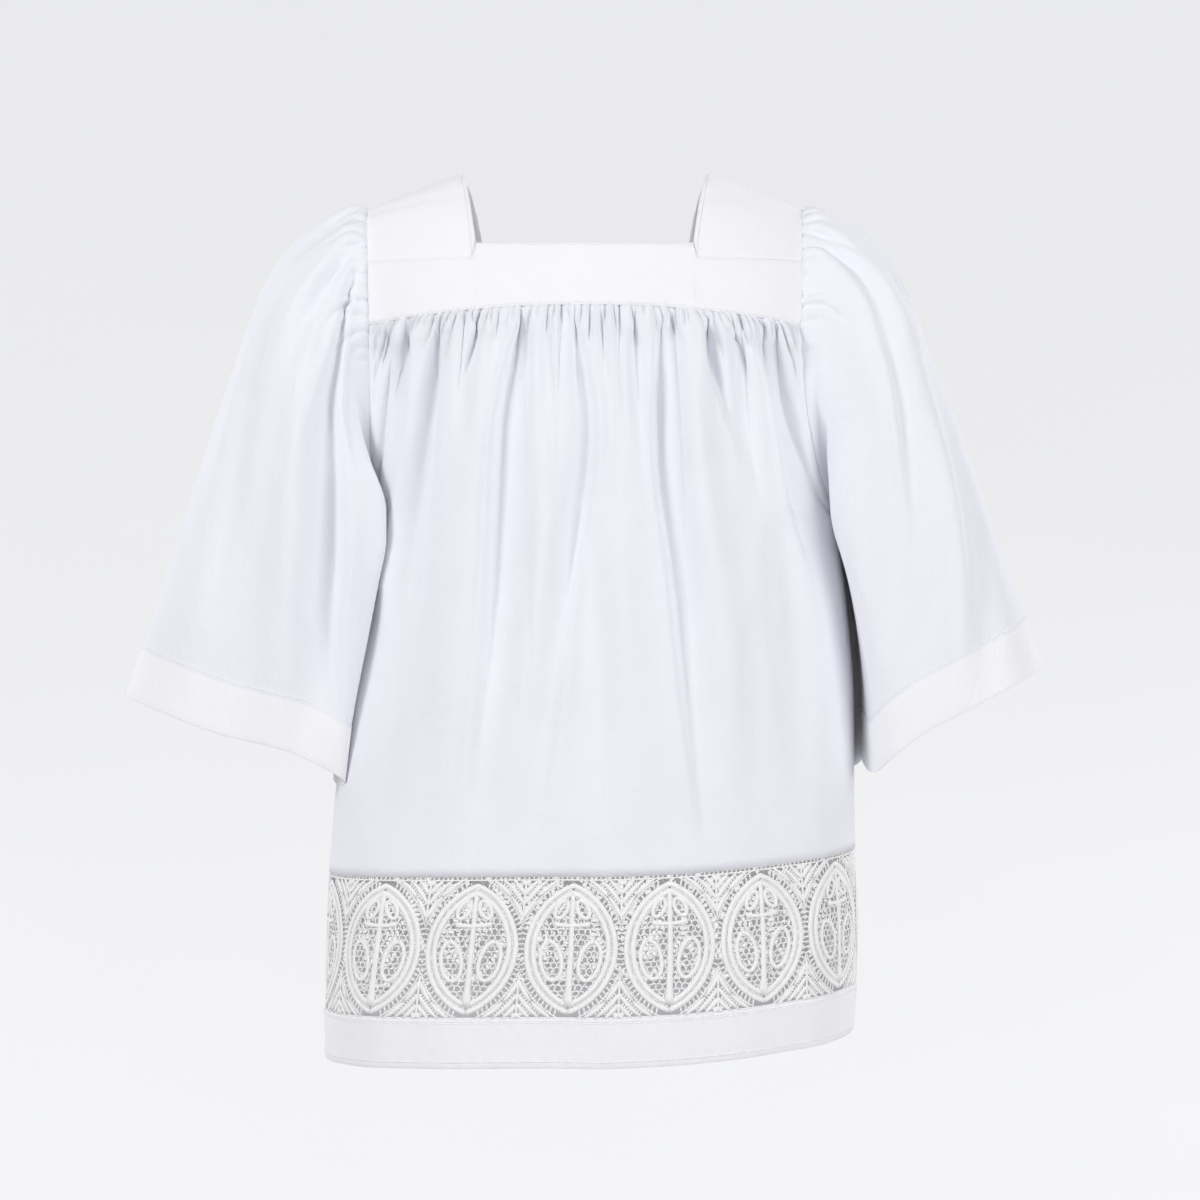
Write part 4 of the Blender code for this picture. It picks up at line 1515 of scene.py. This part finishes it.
@dataclass
class Sleeve:
    """A bell sleeve, gathered at the head and turned up at the cuff."""

    side: Side
    around: int = 420
    along: int = 84
    raw_rows: int = 160
    first_rows: float = 0.45  # how far apart the rows are at the head, with 1 for even rows
    coarse_from: int = 24
    lap: float = 0.0035
    hem_rows: int = 10
    hem: float = 0.046
    gap: float = 0.0011
    wall: float = 0.0005
    width: float = 0.60  # nominal distance round the sleeve in which folds are placed
    length: float = 0.46  # nominal length in which folds are placed
    cut: tuple[float, float] = (0.62, 0.50)
    cut_area: float = 0.25
    gathers: Gathers = Gathers(
        pitch=0.0110, depth=0.0032, reach=0.030, seed=0, puff=0.002, narrow=0.0016, fan=0
    )
    seeds: dict[Side, int] = field(default_factory=lambda: {Side.RIGHT: 23, Side.LEFT: 31})
    recess: dict[Side, tuple[float, ...]] = field(
        default_factory=lambda: {
            # depth; place and width down from the head; place and width across
            Side.RIGHT: (0.014, 0.011, 0.006, 0.060, 0.038),
            Side.LEFT: (0.010, 0.009, 0.005, 0.080, 0.055),
        }
    )
    fold_start: float = 0.016
    calm_under: float = 0.03  # folds fade this near the underarm
    under_gathers: float = 0.12
    gathers_from: tuple[float, float] = (0.13, 0.20)  # distances from the underarm
    hem_step: float = 0.0005  # the turned hem stands out by this much, past a line as deep
    line_width: float = 0.8  # in rows
    stitch_points: int = 400

    def base(self) -> Cloth:
        """The sleeve without folds, with one row along the top of its hem."""
        surface = SleeveForm(self.side).surface(self.around, self.raw_rows)
        raw = Cloth(surface, closed=True, outward=self.side.value)
        down = raw.down
        rows = np.concatenate([fine_rows(self.along, self.first_rows), np.ones(self.hem_rows)])
        hem_part = np.concatenate([np.zeros(self.along + 1), np.linspace(0, 1, self.hem_rows + 1)[1:]])
        grid = np.empty((len(rows), self.around, 3))
        for j in range(self.around):
            wanted = rows * (down[-1, j] - self.hem) + hem_part * self.hem
            for k in range(3):
                grid[:, j, k] = np.interp(wanted, down[:, j], raw.points[:, j, k])
        return Cloth(grid, closed=True, outward=self.side.value)

    def cloth(self) -> Cloth:
        """The sleeve's face with folds, gathers and the turned hem."""
        base = self.base()
        down = base.down
        across = np.broadcast_to(np.arange(self.around) / self.around * self.width, down.shape)
        nominal = down / down[-1:, :] * self.length
        heights = sum(fold.lift(across, nominal, self.width) for fold in SLEEVE_FOLDS[self.side])
        heights = heights * rise(down, 0, self.fold_start)
        deep, down_at, down_width, across_at, across_width = self.recess[self.side]
        heights = heights - deep * bump(down - down_at, down_width) * bump(across - across_at, across_width)
        from_under = np.minimum(across, self.width - across)
        base = base.lifted(heights * (1 - bump(from_under, self.calm_under)))
        weight = self.under_gathers + (1 - self.under_gathers) * rise(from_under, *self.gathers_from)
        gathers = replace(self.gathers, seed=self.seeds[self.side])
        pleats = gathers.lift(across, base.down, self.width, weight)
        number = np.arange(len(down))[:, None]
        step = self.hem_step * rise(number, self.along - 0.5, self.along + 0.5)
        line = -self.hem_step * bump(number - self.along, self.line_width)
        outer = base.lifted(pleats + step + line)
        head = outer.points[0] - [self.side.value * self.lap, 0, 0] - outer.normals[0] * self.lap / 2
        outer = Cloth(np.concatenate([head[None], outer.points]), True, outer.outward)
        return turned_in(outer, self.hem_rows, self.gap)

    def build(self) -> list[bpy.types.Object]:
        """Makes and dresses the sleeve with its hem stitches.

        Returns:
            The piece and its thread.
        """
        cloth = self.cloth()
        name = f"sleeve_{self.side.label}"
        spans = len(cloth.points) - 1
        item = cloth.piece(
            f"{name}_cloth",
            SINGLE,
            wall=self.wall,
            inner=DOUBLED,
            inner_from=(self.along + 1.5) / spans,
            coarse_from=self.coarse_from,
        )
        rows = [StitchRow((self.along + 1.25) / spans, 0.0, 1.0, self.stitch_points)]
        return sew(cloth, item, name, rows, Slot.PLAIN, self.cut, area=self.cut_area)


# ---------------------------------------------------------------- lace


@dataclass(frozen=True)
class Cord:
    """A flat cord of the lace; line holds its places along and up the band."""

    line: Array
    wide: Array | float
    thick: float = 0.00055
    sides: int = 6
    lift: float = 0.0


def bar(start: Array, end: Array, wide: float, thick: float = 0.0003, lift: float = 0.0) -> Cord:
    """A short square bar from one cord to another."""
    return Cord(np.array([start, end]), wide, thick, sides=4, lift=lift)


@dataclass
class LaceRepeat:
    """One repeat of the lace: a pointed oval, the sprays beside it and its grounds."""

    pitch: float
    half_wide: float = 0.0390
    half_high: float = 0.0555
    edge: float = 0.0575
    cord: float = 0.0024
    bride: float = 0.00095
    ring: float = 0.0048  # reach of the bars outside the oval
    tip: float = 0.97  # bars stop at this share of an arc
    frame_bars: int = 74
    ray_bars: int = 34
    net_cell: float = 0.0054
    net_stray: float = 0.16  # how far a knot strays from its even place, in cells
    net_seed: int = 5
    knots_in_metre: float = 2e4  # knots that round to the same place are one
    spray_rows: int = 4
    leaf_step: float = 0.0050
    leaf_length: float = 0.024
    leaf_wide: float = 0.00215
    bar_pitch: float = 0.0030
    bar_reach: float = 0.0014
    stem_from: float = 0.022
    staff_top: float = 0.0465
    staff_length: float = 0.0945
    arm_up: float = 0.0195
    arm_reach: float = 0.0150
    loops: tuple[tuple[float, ...], ...] = (
        # along, up, half width, half height, tilt
        (0.0158, -0.0100, 0.0085, 0.0165, 0.20),
        (0.0090, 0.0330, 0.0044, 0.0080, -0.50),
    )
    heading_gap: float = 0.0034
    heading_bars: int = 20

    @property
    def radius(self) -> float:
        """Radius of the oval's two arcs."""
        return (self.half_high**2 + self.half_wide**2) / (2 * self.half_wide)

    @property
    def centre(self) -> float:
        """How far each arc's centre lies beyond the middle."""
        return self.radius - self.half_wide

    def arc(self, offset: float, side: float, start: float, end: float, count: int) -> Array:
        """A line along one arc of the oval.

        Args:
            offset: How far outside the oval's edge it runs.
            side: The side of the arc, -1 or 1.
            start: The angle where it starts, with 0 at the oval's widest.
            end: The angle where it ends.
            count: How many spans it has.

        Returns:
            Places along and up the band.
        """
        radius = self.radius + offset
        angle = np.linspace(start, end, count + 1)
        return np.stack([side * (radius * np.cos(angle) - self.centre), radius * np.sin(angle)], axis=1)

    def oval(self, inset: float, side: float, part: float = 1.0, count: int = 40) -> Array:
        """A line on one arc, inside the edge by inset, over a part of the way to the tips."""
        limit = math.acos(min(1.0, self.centre / (self.radius - inset)))
        return self.arc(-inset, side, -part * limit, part * limit, count)

    def limits(self, offset: float) -> tuple[float, float]:
        """Angles at which a line leaves the repeat's side and reaches the heading."""
        radius = self.radius + offset
        return math.acos(min(1.0, (self.pitch / 2 + self.centre) / radius)), math.asin(self.edge / radius)

    def frame_cords(self) -> list[Cord]:
        """The oval's two flat cords and the bars between them."""
        cords = []
        for inset in (self.cord, 3.35 * self.cord):
            loop = np.concatenate([self.oval(inset, 1.0), self.oval(inset, -1.0)[::-1]])
            cords.append(Cord(loop, self.cord * 0.98, lift=0.0003))
        for side in (-1.0, 1.0):
            inner = self.oval(2.7 * self.cord, side, self.tip, self.frame_bars)
            outer = self.oval(1.6 * self.cord, side, self.tip, self.frame_bars)
            cords.extend(bar(a, b, self.bride * 0.9) for a, b in zip(inner, outer))
        return cords

    def rays(self) -> list[Cord]:
        """Short bars that stand round the oval, and the thin cord they reach."""
        cords = []
        start, end = self.limits(self.ring)
        for side in (-1.0, 1.0):
            for flip in (-1.0, 1.0):
                line = self.arc(self.ring, side, flip * start, flip * end, 16)
                cords.append(Cord(line, 0.0008, 0.0004, sides=4))
            inner = self.oval(self.cord * 0.5, side, self.tip, self.ray_bars)
            outer = self.oval(-self.ring, side, self.tip, self.ray_bars)
            for a, b in zip(inner, outer):
                if abs(b[0]) > self.pitch / 2:
                    b = a + (b - a) * (self.pitch / 2 - abs(a[0])) / (abs(b[0]) - abs(a[0]))
                if abs(b[1]) < self.edge:
                    cords.append(bar(a, b, self.bride * 1.1, lift=-0.0001))
        return cords

    def net(self) -> list[Cord]:
        """The uneven net of six-sided cells inside the oval."""
        rng = np.random.default_rng(self.net_seed)
        knots: dict[tuple[int, int], Array] = {}
        edges: set[tuple[tuple[int, int], tuple[int, int]]] = set()
        cell = self.net_cell
        radius = cell / math.sqrt(3)
        columns, rows = int(self.half_wide / cell) + 1, int(self.half_high / (1.5 * radius)) + 1
        for i in range(-columns, columns + 1):
            for j in range(-rows, rows + 1):
                middle = np.array([cell * (i + 0.5 * (j % 2)), 1.5 * radius * j])
                corners = []
                for k in range(6):
                    angle = math.pi / 6 + k * math.pi / 3
                    corner = middle + radius * np.array([math.cos(angle), math.sin(angle)])
                    key = (round(corner[0] * self.knots_in_metre), round(corner[1] * self.knots_in_metre))
                    if key not in knots:
                        knots[key] = corner + rng.uniform(-self.net_stray, self.net_stray, 2) * cell
                    corners.append(key)
                for a, b in zip(corners, corners[1:] + corners[:1]):
                    edges.add((min(a, b), max(a, b)))
        bars = [bar(knots[a], knots[b], self.bride * 1.05, 0.00035, -0.0002) for a, b in sorted(edges)]
        reach = self.radius - 3.2 * self.cord
        return [
            item
            for item in bars
            if (np.hypot(np.abs(item.line[:, 0]) + self.centre, item.line[:, 1]) < reach).all()
        ]

    def sprays(self) -> list[Cord]:
        """Rows of padded leaves that follow the oval, with small bars between the rows."""
        cords = []
        shape = np.clip(np.sin(math.pi * np.linspace(0, 1, 7) ** 0.8), 0.10, 1) ** 0.6
        for number in range(self.spray_rows):
            offset = self.ring + (number + 0.5) * self.leaf_step
            start, end = self.limits(offset)
            length = (end - start) * (self.radius + offset)
            leaves = max(1, round(length / self.leaf_length))
            bars = max(1, round(length / self.bar_pitch))
            gap = offset - self.leaf_step / 2
            for side in (-1.0, 1.0):
                for flip in (-1.0, 1.0):
                    ends = np.linspace(start, end, leaves + 1) * flip
                    for a, b in zip(ends, ends[1:]):
                        line = self.arc(offset, side, a, b, len(shape) - 1)
                        cords.append(Cord(line, self.leaf_wide * shape, 0.0007, lift=0.0002))
                    for angle in np.linspace(start, end, bars + 2)[1:-1] * flip:
                        near = self.arc(gap - self.bar_reach, side, angle, angle, 0)[0]
                        far = self.arc(gap + self.bar_reach, side, angle, angle, 0)[0]
                        cords.append(bar(near, far, self.bride * 1.2, lift=-0.0001))
        for flip in (-1.0, 1.0):
            high = np.linspace(self.stem_from, self.edge, 9) * flip
            stem = np.stack([np.full(9, self.pitch / 2), high], axis=1)
            cords.append(Cord(stem, 0.0010, 0.0006, lift=0.0003))
        return cords

    def device(self) -> list[Cord]:
        """A staff with a flared foot, a short bar and two pairs of leaf loops."""
        part = np.linspace(0, 1, 15)
        staff = np.stack([np.zeros(15), self.staff_top - self.staff_length * part], axis=1)
        foot = 0.0022 * bump(part - 1, 0.10)
        cords = [Cord(staff, 0.0021 + 0.0009 * part + foot, 0.0008, lift=0.0003)]
        part = np.linspace(-1, 1, 11)
        arms = np.stack([self.arm_reach * part, self.arm_up + 0.0015 * part**2], axis=1)
        cords.append(Cord(arms, 0.0018 + 0.0012 * part**4, 0.0008, lift=0.0004))
        turn = np.linspace(0, 2 * math.pi, 29)
        for side in (-1.0, 1.0):
            for x, y, wide, high, tilt in self.loops:
                along, up = wide * np.sin(turn), high * np.cos(turn)
                out = side * (x + along * math.cos(tilt) + up * math.sin(tilt))
                loop = np.stack([out, y - along * math.sin(tilt) + up * math.cos(tilt)], axis=1)
                cords.append(Cord(loop, 0.0019, 0.0007, lift=0.0003))
        return cords

    def heading(self) -> list[Cord]:
        """The straight cords and bars along both edges of the band."""
        cords = []
        places = (np.arange(self.heading_bars) + 0.5) / self.heading_bars * self.pitch - self.pitch / 2
        for side in (-1.0, 1.0):
            for level, wide in ((self.edge, 0.0009), (self.edge + self.heading_gap, 0.0014)):
                along = np.linspace(-self.pitch / 2, self.pitch / 2, 15)
                line = np.stack([along, np.full(15, side * level)], axis=1)
                cords.append(Cord(line, wide, 0.0004, sides=4))
            low, high = side * self.edge, side * (self.edge + self.heading_gap)
            cords.extend(bar(np.array([along, low]), np.array([along, high]), self.bride) for along in places)
        return cords

    def cords(self) -> list[Cord]:
        """Everything in the repeat."""
        return [
            *self.frame_cords(),
            *self.rays(),
            *self.net(),
            *self.sprays(),
            *self.device(),
            *self.heading(),
        ]


@dataclass
class LaceBand:
    """The lace insertion round the whole skirt, split at the side seams."""

    body: BodyForm = BodyForm()
    repeats: int = 15
    first_x: float = -0.0111
    across: int = 300
    levels: int = 12
    overlap: float = 0.001  # how far the band goes under the cloth above and below
    sunk: float = 0.0008
    lean_middle: float = 0.035  # slant of the repeats, which swings round the skirt
    lean_swing: float = 0.100
    cut: tuple[float, float] = (0.583, 0.124)

    def ring(self) -> tuple[Cloth, float]:
        """The band's face all round, and its length."""
        body = self.body
        halves = []
        levels = np.linspace(body.lace_top_z + self.overlap, body.lace_low_z - self.overlap, self.levels + 1)
        for facing in Facing:
            rows = [body.level_row(level, facing, 2 * self.across) for level in levels]
            half = Cloth(np.array([even_shares(row, self.across)[:-1] for row in rows]))
            x, z = half.points[..., 0], half.points[..., 2]
            halves.append(half.lifted(body.ripple(x, z, facing) - self.sunk))
        lengths = [float(half.across[self.levels // 2, -1]) for half in halves]
        points = np.concatenate([half.points for half in halves], axis=1)
        return Cloth(points, closed=True), sum(lengths)

    def build(self) -> list[bpy.types.Object]:
        """Makes and dresses the two halves of the lace.

        Returns:
            The front half and the back half.
        """
        ring, length = self.ring()
        high = float(ring.down[-1].mean())
        pitch = length / self.repeats
        x = ring.points[self.levels // 2, : self.across, 0]
        start = float(np.interp(self.first_x, x, np.arange(self.across))) / (2 * self.across)
        repeat = LaceRepeat(pitch).cords()
        works = {facing: ThreadWork() for facing in Facing}
        for number in range(self.repeats):
            for cord in repeat:
                along = cord.line[:, 0] / length + start + number / self.repeats
                lean = self.lean_middle + self.lean_swing * np.cos(2 * math.pi * along)
                along = along + lean * cord.line[:, 1] / length
                facing = Facing.FRONT if along.mean() % 1 < 0.5 else Facing.BACK
                row = 0.5 - cord.line[:, 1] / high
                points, normals = ring.place(row, along, cord.lift)
                works[facing].tube(points, normals, cord.wide, cord.thick, cord.sides)
        items = []
        for facing, work in works.items():
            item = work.piece(f"lace_{facing.label}_cords", LACE_CORD)
            dress(item, Slot.LACE, [f"lace_{facing.label}"], cut=self.cut)
            items.append(item)
        return items


# ---------------------------------------------------------------- studio


@dataclass
class Studio:
    """Camera, soft lights and a pale sweep of backdrop."""

    camera_at: tuple[float, float, float] = (0.0131, -3.0, -0.3715)
    lens: float = 102.9
    floor_z: float = -1.6
    glow: float = 0.395
    seen_glow: float = 0.78
    aim: tuple[float, float, float] = (0.0, 0.0, -0.35)
    lamps: tuple[tuple[str, tuple[float, float, float], float, float], ...] = (
        # name, place, size, power
        ("key", (-2.5, -2.3, 1.5), 1.0, 64.0),
        ("fill", (2.6, -2.4, 0.4), 2.2, 53.0),
        ("low fill", (0.9, -3.2, -1.0), 2.0, 6.0),
        ("back key", (2.4, 2.6, 1.5), 1.4, 53.0),
        ("back fill", (-2.6, 2.2, 0.4), 2.2, 30.0),
        ("top", (-0.3, 0.6, 2.6), 1.6, 12.0),
    )
    bowl_radius: float = 9.0
    bowl_wall: float = 3.0
    bowl_start: float = 0.004  # angle of the small flat disc in its middle
    bowl_rings: int = 30
    bowl_around: int = 72

    def camera(self) -> None:
        """A long lens, level with the middle of the garment."""
        data = bpy.data.cameras.new("camera")
        data.lens = self.lens
        data.sensor_width = 36.0
        item = bpy.data.objects.new("camera", data)
        item.location = self.camera_at
        item.rotation_euler = (math.pi / 2, 0, 0)
        bpy.context.scene.collection.objects.link(item)
        bpy.context.scene.camera = item

    def lights(self) -> None:
        """Soft square lights that look at the garment, in front, behind and above."""
        for name, at, size, power in self.lamps:
            data = bpy.data.lights.new(name, "AREA")
            data.energy, data.size = power, size
            item = bpy.data.objects.new(name, data)
            item.location = at
            aim = np.array(self.aim) - np.array(at)
            tilt = math.acos(-aim[2] / np.linalg.norm(aim))
            item.rotation_euler = (tilt, 0, math.atan2(aim[1], aim[0]) - math.pi / 2)
            bpy.context.scene.collection.objects.link(item)

    def sweep(self) -> None:
        """A round pale floor that rises into a wall on all sides and glows softly."""
        radius, around = self.bowl_radius, self.bowl_around
        angles = np.linspace(self.bowl_start, math.pi / 2, self.bowl_rings)
        profile = [(radius * math.sin(a), radius * (1 - math.cos(a))) for a in angles]
        profile.append((radius, radius + self.bowl_wall))
        bowl = bmesh.new()
        rings = []
        for out, up in profile:
            ring = []
            for k in range(around):
                turn = 2 * math.pi * k / around
                ring.append(bowl.verts.new((out * math.cos(turn), out * math.sin(turn), self.floor_z + up)))
            rings.append(ring)
        bowl.faces.new(rings[0][::-1])
        for lower, upper in zip(rings, rings[1:]):
            for k in range(around):
                after = (k + 1) % around
                bowl.faces.new((lower[k], lower[after], upper[after], upper[k]))
        for face in bowl.faces:
            face.smooth = True
        mesh = bpy.data.meshes.new("backdrop")
        bowl.to_mesh(mesh)
        bowl.free()
        mesh.materials.append(self.paper())
        item = bpy.data.objects.new("backdrop", mesh)
        bpy.context.scene.collection.objects.link(item)

    def paper(self) -> bpy.types.Material:
        """Pale backdrop paper, lit more for the eye than for the cloth."""
        made = bpy.data.materials.new("backdrop paper")
        made.use_nodes = True
        kit = NodeKit(made.node_tree)
        shader = made.node_tree.nodes["Principled BSDF"]
        grain = kit.add("ShaderNodeTexNoise")
        grain.inputs["Scale"].default_value = 40.0
        ramp = kit.add("ShaderNodeValToRGB")
        ramp.color_ramp.elements[0].color = (0.14, 0.14, 0.14, 1.0)
        ramp.color_ramp.elements[1].color = (0.16, 0.16, 0.16, 1.0)
        kit.link(grain.outputs[0], ramp.inputs[0])
        kit.link(ramp.outputs[0], shader.inputs["Base Color"])
        shader.inputs["Roughness"].default_value = 0.9
        shader.inputs["Emission Color"].default_value = (0.97, 0.975, 1.0, 1.0)
        seen = kit.add("ShaderNodeLightPath").outputs["Is Camera Ray"]
        glow = kit.math("ADD", kit.math("MULTIPLY", seen, self.seen_glow - self.glow), self.glow)
        kit.link(glow, shader.inputs["Emission Strength"])
        return made

    def build(self) -> None:
        """Sets up the studio."""
        self.camera()
        self.lights()
        self.sweep()
        view = bpy.context.scene.view_settings
        view.view_transform = "Standard"
        view.look = "None"


def main() -> None:
    """Builds the surplice piece by piece, then the studio."""
    logging.basicConfig(level=logging.INFO, format="%(name)s: %(message)s")
    build_weave_group()
    build_handling_group()
    parts: list[Panel | YokeBand | HemBand | Strap | Sleeve | LaceBand] = []
    for facing in Facing:
        parts += [Panel(facing), YokeBand(facing), HemBand(facing)]
    for side in Side:
        parts += [Strap(side), Sleeve(side)]
    parts.append(LaceBand())
    for part in parts:
        for item in part.build():
            LOG.info("%s: %d faces", item.name, len(item.data.polygons))
    Studio().build()


if __name__ == "__main__":
    main()
